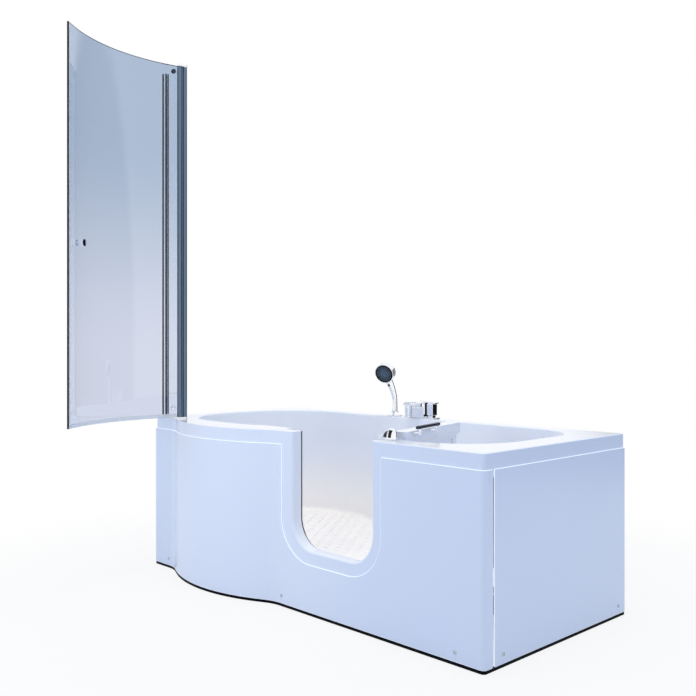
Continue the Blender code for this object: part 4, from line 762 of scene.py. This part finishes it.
# Door. Two formed acrylic skins bonded over a foam core, 38 mm thick, that hang on a rod inside
# the right jamb. The top band is thicker and stands above the rim. Drawn closed, then opened.
hinge = Vector((0.440, -0.325, 0))
leaf_half, leaf_top, leaf_foot, leaf_round, band_end = 0.019, 0.640, 0.196, 0.120, 0.410
field_left, field_right, field_sill, field_round, field_top = 0.030, 0.380, 0.236, 0.090, 0.584
field_deep, bore_radius, notch_radius = 0.004, 0.0063, 0.021


def turn_about(pivot, degrees):
    """The turn of a piece about an upright line."""
    return (Matrix.Translation(pivot) @ Matrix.Rotation(math.radians(degrees), 4, "Z")
            @ Matrix.Translation(-pivot))


opened = turn_about(hinge, -76)
leaf = prism_back("door_leaf_fine", door_outline(0.0, hinge.x, leaf_foot, leaf_round, rim_height, 20),
                  hinge.y - leaf_half, hinge.y + leaf_half)
inner, outer_face = hinge.y + leaf_half, hinge.y - leaf_half
band_in, band_low = inner + 0.015, leaf_top - 0.040
band_profile = [Vector(pair) for pair in (
    (outer_face + 0.0005, band_low), (inner - 0.003, band_low - 0.012),
    (inner + 0.004, band_low - 0.004), (band_in - 0.002, band_low + 0.008), (band_in, band_low + 0.014),
    (band_in, leaf_top - 0.003), (band_in - 0.001, leaf_top - 0.001), (band_in - 0.003, leaf_top),
    (outer_face + 0.0035, leaf_top), (outer_face + 0.0013, leaf_top - 0.001),
    (outer_face + 0.0005, leaf_top - 0.003))]
combine(leaf, "UNION",
        turned("knuckle", hinge, [(leaf_half, 0.320), (leaf_half, rim_height)], 48),
        loft("band", [[Vector((x, point.x, point.y)) for point in band_profile]
                      for x in (0.0, band_end)]))
combine(leaf, "DIFFERENCE",
        prism_back("field", door_outline(field_left, field_right, field_sill, field_round, field_top),
                   inner - field_deep, inner + 0.02),
        turned("rod_bore", hinge, [(bore_radius, 0.30), (bore_radius, 0.63)], 32),
        *[turned("block_notch", hinge, [(notch_radius, foot), (notch_radius, top)], 48)
          for foot, top in ((0.3395, 0.3805), (0.5195, 0.5605))])
leaf.data.transform(opened)
dress(leaf, "door", "acrylic", acrylic, "door_leaf", edge=0.003, steps=3)
coat(chrome, "hinge_block_low", "hinge_block_high")

# Pull handle. A 12 mm rail on two bent stubs, screwed to the door's top band. The stubs are bright
# chrome; the rail's chrome has a dark base colour as painted dark reflection, so it reads nearly black.
# On the rail, this dark base colour is a painted reflection of a dark room.
dark_chrome, tree, shader = new_finish("dark chromium plate", "#3a4152", 0.10, metallic=1.0)
haze = ripple(tree, shader, 0.004, 0.00001)
vary(tree, shader, "Roughness", haze, 0.06, 0.14)
bar_y, bar_z, stub_z = band_in + 0.020, 0.652, 0.631
ends = (0.213, 0.373)
path = [Vector((x, bar_y, bar_z)) for x in (ends[0], ends[0] + 0.0008, ends[0] + 0.0025,
                                            ends[1] - 0.0025, ends[1] - 0.0008, ends[1])]
handle = swept("handle_bar_fine", path, [0.0038, 0.0052, 0.006, 0.006, 0.0052, 0.0038])
handle.data.transform(opened)
dress(handle, "door", "chrome", dark_chrome, "handle_bar")
for number, x in enumerate((ends[0] + 0.020, ends[1] - 0.020), 1):
    stub = turned(f"handle_stub_{number}", Vector((x, band_in + 0.0003, stub_z)), [
        (0.0065, 0), (0.0065, 0.0015), (0.0045, 0.003), (0.0045, 0.020)], 32, Vector((0, 1, 0)))
    combine(stub, "UNION", turned("riser", Vector((x, bar_y, 0)), [
        (0.0030, stub_z - 0.0045), (0.0048, stub_z - 0.0025), (0.0048, bar_z - 0.0058)], 32))
    stub.data.transform(opened)
    dress(stub, "door", "chrome", chrome)

# Lock lever. A cast, polished and plated drop on the hinge's top, with a round hub and a thin
# tip; it turns the cam that presses the closed door on its gasket. Two black patches on each
# flank, with chrome between them, are painted dark reflection in gloss black.
lever_way = Matrix.Rotation(math.pi, 3, "Z")
hub, reach, tall, tip, lift = 0.0185, 0.059, 0.033, 0.004, 0.0045
dark_patch_low, dark_patch_tilt, dark_patch_runs = 0.004, (0.05, 0.62), ((-0.010, 0.002), (0.008, 0.030))
rings = []
steps_along = [-math.cos(math.pi / 2 * step / 9) for step in range(9)]
steps_along += [0.03 + 0.95 * (step / 16) for step in range(17)]
for share in steps_along:
    share = max(share, -0.985)
    if share < 0:
        along, swell = hub * share, math.sqrt(1 - share ** 2)
        half, high = hub * swell, tall * swell
    else:
        along, swell = reach * share, 1 - share * share * (3 - 2 * share)
        half, high = tip + (hub - tip) * swell, tip + (tall - tip) * swell
    rings.append([hinge + lever_way @ Vector((along, half * math.cos(math.pi * turn / 28), 0))
                  + Vector((0, 0, rim_height + lift + high * math.sin(math.pi * turn / 28)))
                  for turn in range(29)])
lever = loft("lock_lever_fine", rings)
combine(lever, "UNION", turned("lever_foot", hinge, [
    (0.017, rim_height + 0.0003), (0.017, rim_height + 0.0030), (0.0150, rim_height + 0.0045),
    (0.0150, rim_height + 0.009)], 48))
# Gloss black for the spray ring and the button, and as painted dark reflection on the lever.
gloss_black_and_dark_reflection, tree, shader = new_finish("gloss black ABS and painted dark reflection", "#05060a", 0.16)
shader.inputs["Specular IOR Level"].default_value = 0.25
grain = ripple(tree, shader, 0.0015, 0.00001)
vary(tree, shader, "Roughness", grain, 0.12, 0.24)
dress(lever, "lock", "chrome", [chrome, gloss_black_and_dark_reflection], "lock_lever", angle=40)
# Painted reflection: two runs of up-tilted flank faces turn gloss black.
for face in lever.data.polygons:
    run, rise = hinge.x - face.center.x, face.center.z - rim_height - lift
    in_dark_patch = dark_patch_tilt[0] < face.normal.z < dark_patch_tilt[1] and rise > dark_patch_low
    if in_dark_patch and any(near < run < far for near, far in dark_patch_runs):
        face.material_index = 1

# Hand shower holder. A turned brass dome, chromium plated, with a collar round the bore in which
# the hand shower stands. A nut below clamps it to the deck.
tap_y = 0.355
stand = Vector((-0.182, tap_y, rim_height))
holder = turned("shower_holder_fine", stand, [
    (0.0125, -0.040), (0.0125, 0.0003), (0.0302, 0.0003), (0.0310, 0.0012), (0.0310, 0.0028),
    (0.0300, 0.0038), (0.0262, 0.0068), (0.0216, 0.0108), (0.0172, 0.0148), (0.0155, 0.0166),
    (0.0155, 0.0198), (0.0150, 0.0203), (0.0112, 0.0203), (0.0103, 0.0195), (0.0103, -0.040)],
    56, looped=True)
dress(holder, "bath", "chrome", chrome, "shower_holder")

# Hand shower. Plated ABS in one curve from the spigot to the head, with two fine grooves round
# the head's rim. The spray plate of dark moulded silicone, paler at its middle, sits in a black
# ring and carries soft grey silicone nozzles in rings.
facing = Vector((0.326, -0.882, -0.344)).normalized()
head = Vector((-0.202, 0.310, 0.793))
head_down = Vector((0, 0, -1))
head_down = (head_down - facing * head_down.dot(facing)).normalized()
neck_end = head - facing * 0.022 + head_down * 0.020
low_grip, high_grip = (Vector((stand.x, stand.y, z)) for z in (0.6366, 0.6806))
path = [low_grip + (high_grip - low_grip) * step / 6 for step in range(7)]
radii = [0.0115 - 0.001 * step / 6 for step in range(7)]
pull = Vector((high_grip.x, high_grip.y, high_grip.z + (neck_end.z - high_grip.z) * 0.35))
for step in range(1, 25):
    t = step / 24
    path.append(high_grip * (1 - t) ** 2 + pull * (2 * t * (1 - t)) + neck_end * t ** 2)
    radii.append(0.0105 + 0.008 * t * t)
shower = turned("hand_shower_fine", head, [
    (0.0030, -0.0420), (0.0126, -0.0417), (0.0215, -0.0408), (0.0302, -0.0390), (0.0352, -0.0370),
    (0.0390, -0.0340), (0.0412, -0.0300), (0.0419, -0.0270), (0.0419, -0.0226), (0.0405, -0.0216),
    (0.0405, -0.0198), (0.0418, -0.0188), (0.0420, -0.0150), (0.0420, -0.0118), (0.0405, -0.0108),
    (0.0405, -0.0090), (0.0420, -0.0080), (0.0420, -0.0012), (0.0412, 0.0), (0.0400, 0.0)],
    72, facing)
combine(shower, "UNION", swept("grip", path, radii, 40),
        turned("spigot", Vector((stand.x, stand.y, 0)), [(0.0085, 0.6026), (0.010, 0.6045),
                                                         (0.010, 0.6466)], 40))
button_way = Vector((0.254289, -0.957557, -0.135727))
neck = Vector((-0.1971, 0.3452, 0.7467))
combine(shower, "DIFFERENCE",
        turned("face_space", head, [(0.039, -0.006), (0.039, 0.02)], 72, facing),
        turned("button_space", neck, [(0.0053, 0.0106), (0.0053, 0.03)], 32, button_way))
dress(shower, "shower", "chrome", chrome, "hand_shower", angle=34)
ring = turned("spray_ring_fine", head, [
    (0.0387, -0.0057), (0.0387, 0.0004), (0.0381, 0.0010), (0.0340, 0.0010), (0.0332, 0.0002),
    (0.0332, -0.0057)], 72, facing, looped=True)
dress(ring, "shower", "black_plastic", gloss_black_and_dark_reflection, "spray_ring")
silicone, tree, shader = new_finish("dark silicone spray plate", "#22384a", 0.34)
ripple(tree, shader, 0.001, 0.00002)
spot = add(tree, "ShaderNodeTexCoord").outputs["Object"]
radius = add(tree, "ShaderNodeVectorMath", {0: spot, 1: head}, operation="DISTANCE").outputs["Value"]
rim = add(tree, "ShaderNodeMapRange", {"Value": radius, "From Min": 0.010, "From Max": 0.033},
          interpolation_type="SMOOTHSTEP").outputs["Result"]
vary(tree, shader, "Base Color", rim, "#38546a", "#13202c")
plate = turned("spray_plate", head, [
    (0.0329, -0.0057), (0.0329, -0.0010), (0.0290, -0.0010), (0.0285, -0.0016), (0.0278, -0.0016),
    (0.0273, -0.0010), (0.0190, -0.0010), (0.0185, -0.0016), (0.0178, -0.0016), (0.0173, -0.0010),
    (0.0100, -0.0010), (0.0100, -0.0002), (0.0030, -0.0002)], 72, facing)
dress(plate, "shower", "dark_face", silicone, "spray_face")
pale_silicone, tree, shader = new_finish("grey silicone nozzle", "#7f93a3", 0.4)
grain = ripple(tree, shader, 0.001, 0.00002)
vary(tree, shader, "Base Color", grain, "#6c8192", "#8fa2b1")
side = Vector((0, 0, 1)).cross(facing).normalized()
rise = facing.cross(side)
shape = bmesh.new()
for radius, count in ((0.0, 1), (0.0060, 6), (0.0140, 12), (0.0230, 20), (0.0310, 28)):
    for index in range(count):
        turn = 2 * math.pi * index / count
        base = -0.0003 if radius < 0.009 else -0.0011
        foot = head + side * radius * math.cos(turn) + rise * radius * math.sin(turn) + facing * base
        skin(shape, [circle(foot + facing * high, side, rise, wide, 8) for wide, high in (
            (0.0011, 0.0), (0.0008, 0.0009), (0.0004, 0.0012))])
bmesh.ops.recalc_face_normals(shape, faces=shape.faces)
nozzles = as_object("spray_nozzles", shape)
dress(nozzles, "shower", "dark_face", pale_silicone, angle=60)
button = turned("mode_button_fine", neck, [
    (0.005, 0.0121), (0.005, 0.0158), (0.0046, 0.0162), (0.0030, 0.0164), (0.0008, 0.0163)],
    32, button_way)
dress(button, "button", "black_plastic", gloss_black_and_dark_reflection, "mode_button")

# Diverter. A turned brass foot and a knob on it with a groove above its skirt and a short pin,
# all chromium plated. It turns the water from the spout to the hand shower.
diverter = Vector((-0.101, tap_y, rim_height))
foot = turned("diverter_base_fine", diverter, [
    (0.009, -0.0417), (0.009, 0.0003), (0.0194, 0.0003), (0.020, 0.0010), (0.020, 0.0052),
    (0.0192, 0.0063)], 56)
dress(foot, "bath", "chrome", chrome, "diverter_base")
turn_knob = turned("diverter_knob_fine", diverter, [
    (0.0172, 0.0066), (0.018, 0.0074), (0.018, 0.0150), (0.0170, 0.0156), (0.0170, 0.0166),
    (0.018, 0.0172), (0.018, 0.0600), (0.0176, 0.0622), (0.0165, 0.0634), (0.0145, 0.0640),
    (0.0010, 0.0640)], 56)
combine(turn_knob, "UNION", turned("pin", diverter + Vector((0, 0, 0.052)), [
    (0.003, 0.009), (0.003, 0.0285), (0.0024, 0.0298), (0.0008, 0.0300)], 28, Vector((-1, 0, 0))))
dress(turn_knob, "diverter", "chrome", chrome, "diverter_knob")

# Spout. Cast brass, polished and chromium plated, with an open channel on top, from which the
# water falls over a thin lip.
spout_left, spout_right = -0.072, -0.008
spout_top, spout_back, spout_front, spout_tip, on_deck = 0.680, 0.370, 0.340, 0.288, 0.6163
profile = [Vector(pair) for pair in (
    (spout_front, on_deck), (spout_front, 0.655), (spout_front - 0.003, 0.6605),
    (spout_front - 0.009, 0.6635), (spout_tip, 0.668), (spout_tip, spout_top),
    (spout_back, spout_top), (spout_back, on_deck))]
spout = loft("spout_fine", [[Vector((x, point.x, point.y)) for point in profile]
                            for x in (spout_left, spout_right)])
spout_wall, past_tip = 0.005, spout_tip - 0.02
channel = [Vector(pair) for pair in (
    (spout_left + spout_wall, past_tip), (spout_right - spout_wall, past_tip),
    (spout_right - spout_wall, tap_y), (spout_left + spout_wall, tap_y))]
combine(spout, "DIFFERENCE", prism_up("channel", channel, spout_top - 0.006, spout_top + 0.02))
dress(spout, "bath", "chrome", chrome, "spout", edge=0.0010, steps=3)

# Mixer. A square brass body on a square rose, both chromium plated; the flat lever lifts at its
# right end for flow and the body turns for heat.
mixer = Vector((0.0244, tap_y, rim_height))


def square_block(name, size, corner, rows):
    """A square block of (inset, height) rows with rounded upright edges."""
    outline = rounded([(mixer.x + a * size / 2, mixer.y + b * size / 2, corner, 5) for a, b in square])
    return loft(name, [level(offset(outline, -inset), rim_height + height) for inset, height in rows])


rose = square_block("mixer_base_fine", 0.046, 0.002, [(0.0004, 0.0003), (0, 0.0009), (0, 0.0044),
                                                      (0.0009, 0.0053)])
combine(rose, "UNION", square_block("neck", 0.022, 0.002, [(0, 0.003), (0, 0.0137)]),
        turned("tail", mixer, [(0.009, -0.0417), (0.009, 0.003)], 32))
dress(rose, "bath", "chrome", chrome, "mixer_base")
block = square_block("mixer_block_fine", 0.030, 0.0022, [(0.0010, 0.0140), (0, 0.0150), (0, 0.0595),
                                                        (0.0010, 0.0605)])
dress(block, "mixer", "chrome", chrome, "mixer_block")
slab = [Vector(pair) for pair in (
    (-0.0306, 0.6838), (0.0394, 0.6768), (0.0494, 0.6768), (0.0494, 0.6828), (0.0394, 0.6829),
    (-0.0306, 0.6898))]
mixer_lever = loft("mixer_lever_fine", [[Vector((point.x, y, point.y)) for point in slab]
                                        for y in (0.342, 0.368)])
dress(mixer_lever, "lever", "chrome", chrome, "mixer_lever", edge=0.0012, steps=3)

# Screen profiles and post. Extruded aluminium, satin anodised in a blue grey: drawn lines, here
# 0.8 mm wide so that they show, blur what each length mirrors. The wall profile's body is painted
# nearly matt black as dark reflection, with one ridge polished to a bright stripe.
anodised, tree, shader = new_finish("satin anodised aluminium", "#66788f", 0.30, metallic=1.0)
spot = add(tree, "ShaderNodeTexCoord").outputs["Object"]
drawn = add(tree, "ShaderNodeMapping", {"Vector": spot, "Scale": (1200, 1200, 3)})
lines = add(tree, "ShaderNodeTexNoise", {"Vector": drawn.outputs["Vector"], "Scale": 1.0,
                                         "Detail": 2.0})
vary(tree, shader, "Roughness", lines.outputs["Fac"], 0.22, 0.40)
vary(tree, shader, "Base Color", lines.outputs["Fac"], "#5b6d84", "#73859b")
screen_y, screen_top, screen_foot = -0.355, 2.050, 0.6221
profile_top, post_top, ridge_left = 2.055, 2.0497, -0.8365
polished, tree, shader = new_finish("polished aluminium", "#f4f7fb", 0.12, metallic=1.0)
grain = ripple(tree, shader, 0.004, 0.00001)
vary(tree, shader, "Roughness", grain, 0.08, 0.16)
# Painted reflection: the profile's body is near black for the dark room it would mirror.
profile_painted_dark, tree, shader = new_finish("aluminium painted black as dark reflection", "#0b0f16", 0.3)
shader.inputs["Specular IOR Level"].default_value = 0.15
grain = ripple(tree, shader, 0.002, 0.00001)
vary(tree, shader, "Roughness", grain, 0.24, 0.4)
wall = prism_up("wall_profile_fine", rounded([
    (-0.850, -0.367, 0.0034, 6), (-0.8395, -0.367, 0.0034, 6), (-0.8395, -0.363, 0, 0),
    (ridge_left, -0.363, 0, 0), (ridge_left, -0.367, 0.0034, 6), (-0.826, -0.367, 0.0034, 6),
    (-0.826, -0.3583, 0.0030, 6), (-0.847, -0.3583, 0, 0), (-0.847, -0.3517, 0, 0),
    (-0.826, -0.3517, 0.0030, 6), (-0.826, -0.343, 0.0034, 6), (-0.850, -0.343, 0, 0)]),
    on_deck, profile_top)
dress(wall, "bath", "satin_profile", [profile_painted_dark, polished], "wall_profile", angle=50)
for face in wall.data.polygons:
    face.material_index = int(face.normal.y < -0.6 and face.center.x > ridge_left)
post = turned("pivot_post_fine", Vector((-0.695, screen_y, 0)), [
    (0.010, screen_foot), (0.010, post_top), (0.0085, post_top), (0.0085, screen_foot)], 48, looped=True)
dress(post, "bath", "satin_profile", anodised, "pivot_post")
swing = Vector((-0.6935, -0.380, 0))
moving = turned("hinge_profile_fine", swing, [
    (0.0105, screen_foot), (0.0105, post_top), (0.0085, post_top), (0.0085, screen_foot)],
    48, looped=True)
dress(moving, "screen", "satin_profile", anodised, "hinge_profile")
coat(chrome, "post_foot", "post_top")

# Screen glass. Toughened float glass 6 mm thick: clear with a cool grey cast. The cast deepens with
# height as painted reflection, and the polished top edge is painted as a dark line for the light it
# gathers. The fixed pane is of low iron glass, which looks nearly colourless.
glass, tree, shader = new_finish("toughened float glass with painted reflection", "#c9d5e8", 0.0, ior=1.5)
shader.inputs["Transmission Weight"].default_value = 1.0
shader.inputs["Specular IOR Level"].default_value = 0.03
spot = add(tree, "ShaderNodeTexCoord").outputs["Object"]
height = add(tree, "ShaderNodeSeparateXYZ", {"Vector": spot}).outputs["Z"]
# Painted reflection: the tint darkens with height.
rise = add(tree, "ShaderNodeMapRange", {"Value": height, "From Min": 0.85, "From Max": 1.75},
           interpolation_type="SMOOTHSTEP").outputs["Result"]
vary(tree, shader, "Base Color", rise, "#d3d9ea", "#a8b9d1")
clear_glass, tree, shader = new_finish("low iron float glass", "#f4faff", 0.0, ior=1.5)
shader.inputs["Transmission Weight"].default_value = 1.0
shader.inputs["Specular IOR Level"].default_value = 0.05
haze = ripple(tree, shader, 0.30, 0.0002)
vary(tree, shader, "Base Color", haze, "#f8fdff", "#ffffff")
# Painted shade: the top edge is opaque dark grey, for the darker line a lit glass edge shows.
edge_glass_painted_dark, tree, shader = new_finish("polished glass edge painted dark", "#5a6272", 0.08, ior=1.5)
shader.inputs["Specular IOR Level"].default_value = 0.2
grain = ripple(tree, shader, 0.002, 0.00001)
vary(tree, shader, "Base Color", grain, "#525a6a", "#646d7e")
pane = prism_up("fixed_glass_fine", [Vector(pair) for pair in (
    (-0.838, -0.358), (-0.7063, -0.358), (-0.7063, -0.352), (-0.838, -0.352))], on_deck, screen_top)
dress(pane, "bath", "clear_glass", clear_glass, "fixed_glass")

chord, sagitta, glass_thick, glass_start = 0.568, 0.070, 0.006, 0.011
glass_foot, glass_head, seal_foot = 0.6365, 2.0467, 0.6222
arc_radius = ((chord / 2) ** 2 + sagitta ** 2) / (2 * sagitta)
half_turn = math.asin(chord / 2 / arc_radius)
arc_centre = swing.xy + Vector((chord / 2, arc_radius * math.cos(half_turn)))
arc_length = 2 * half_turn * arc_radius
swung = turn_about(swing, -75)


def arc_point(run, shift=0.0):
    """A plan point a run along the closed glass from the axis, and a shift outward."""
    angle = -math.pi / 2 - half_turn + run / arc_radius
    return arc_centre + Vector((math.cos(angle), math.sin(angle))) * (arc_radius + shift)


def bent_sheet(name, start, end, thick, steps, bottom, top):
    """A sheet bent along the glass between two runs, swung out as it is drawn."""
    runs = [start + (end - start) * step / steps for step in range(steps + 1)]
    sheet = prism_up(name, [arc_point(run, thick / 2) for run in runs]
                     + [arc_point(run, -thick / 2) for run in runs][::-1], bottom, top)
    sheet.data.transform(swung)
    return sheet


curved = bent_sheet("swing_glass_fine", glass_start, arc_length, glass_thick, 64, glass_foot, glass_head)
dress(curved, "screen", "clear_glass", glass, "swing_glass")
top_edge = bent_sheet("glass_top_edge", glass_start, arc_length, glass_thick, 64,
                      glass_head + 0.0001, post_top)
dress(top_edge, "screen", "clear_glass", edge_glass_painted_dark)

# Glass seals. Soft PVC, extruded: the sweep under the glass is clear and milky, and the strip on
# the free edge is black.
sweep_start, sweep_thick, sweep_top, channel_thick, strip_thick = 0.014, 0.009, 0.6362, 0.008, 0.006
channel_start, channel_end, strip_start, strip_end = (arc_length + run for run in (
    0.0003, 0.0089, 0.0090, 0.0123))
clear_pvc, tree, shader = new_finish("milky PVC sweep", "#eff4fa", 0.25, ior=1.5)
shader.inputs["Transmission Weight"].default_value = 0.4
grain = ripple(tree, shader, 0.003, 0.00003)
vary(tree, shader, "Roughness", grain, 0.2, 0.4)
sweep = bent_sheet("bottom_seal_fine", sweep_start, arc_length, sweep_thick, 64, seal_foot, sweep_top)
dress(sweep, "screen", "clear_seal", clear_pvc, "bottom_seal", edge=0.001)
black_pvc, tree, shader = new_finish("black PVC edge strip", "#05070d", 0.5)
shader.inputs["Specular IOR Level"].default_value = 0.12
grain = ripple(tree, shader, 0.003, 0.00003)
vary(tree, shader, "Roughness", grain, 0.4, 0.6)
edge_strip = bent_sheet("edge_seal_fine", strip_start, strip_end, strip_thick, 4, seal_foot, post_top)
dress(edge_strip, "screen", "clear_seal", black_pvc, "edge_seal", edge=0.001)
edge_channel = bent_sheet("edge_seal_channel", channel_start, channel_end, channel_thick, 4,
                          seal_foot, post_top)
dress(edge_channel, "screen", "clear_seal", clear_pvc, edge=0.001)

# Glass knob and clamps. Turned and plated, bolted through drilled holes on soft washers. The
# knob's rims and the upper clamp are in dark chrome, the rest in bright chrome.
knob_run, knob_z, clamp_run = arc_length - 0.077, 1.2845, 0.026
rim_low, rim_high = 0.0232, 0.0252


def through_glass(name, run, z, half, sides):
    """A turned fitting on both faces of the glass, from its half profile; returns its axis too."""
    place = arc_point(run).to_3d() + Vector((0, 0, z))
    way = (arc_point(run, 1.0) - arc_point(run)).normalized().to_3d()
    fitting = turned(name, place, [(radius, -high) for radius, high in half[::-1]] + half, sides, way)
    fitting.data.transform(swung)
    return fitting, swung @ place, swung.to_3x3() @ way


half_knob = [(0.005, 0.0034), (0.0075, 0.0034), (0.0075, 0.0042), (0.0068, 0.0050), (0.0068, 0.0090),
             (0.0120, 0.0098), (0.0130, 0.0110), (0.0130, 0.0230), (0.0124, 0.0246), (0.0105, 0.0253),
             (0.0010, 0.0253)]
pull_knob, knob_seat, knob_axis = through_glass("glass_knob_fine", knob_run, knob_z, half_knob, 40)
dress(pull_knob, "screen", "chrome", [chrome, dark_chrome], "glass_knob")
for face in pull_knob.data.polygons:
    proud = abs((face.center - knob_seat).dot(knob_axis))
    face.material_index = int(rim_low < proud < rim_high)
half_clamp = [(0.003, 0.0034), (0.0086, 0.0034), (0.0090, 0.0040), (0.0088, 0.0060), (0.0078, 0.0072),
              (0.0010, 0.0073)]
for name, z, finish in (("glass_clamp_low", 0.6605, chrome), ("glass_clamp_high", 2.0257, dark_chrome)):
    clamp, _, _ = through_glass(name + "_fine", clamp_run, z, half_clamp, 36)
    dress(clamp, "screen", "chrome", finish, name)

low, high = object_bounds()
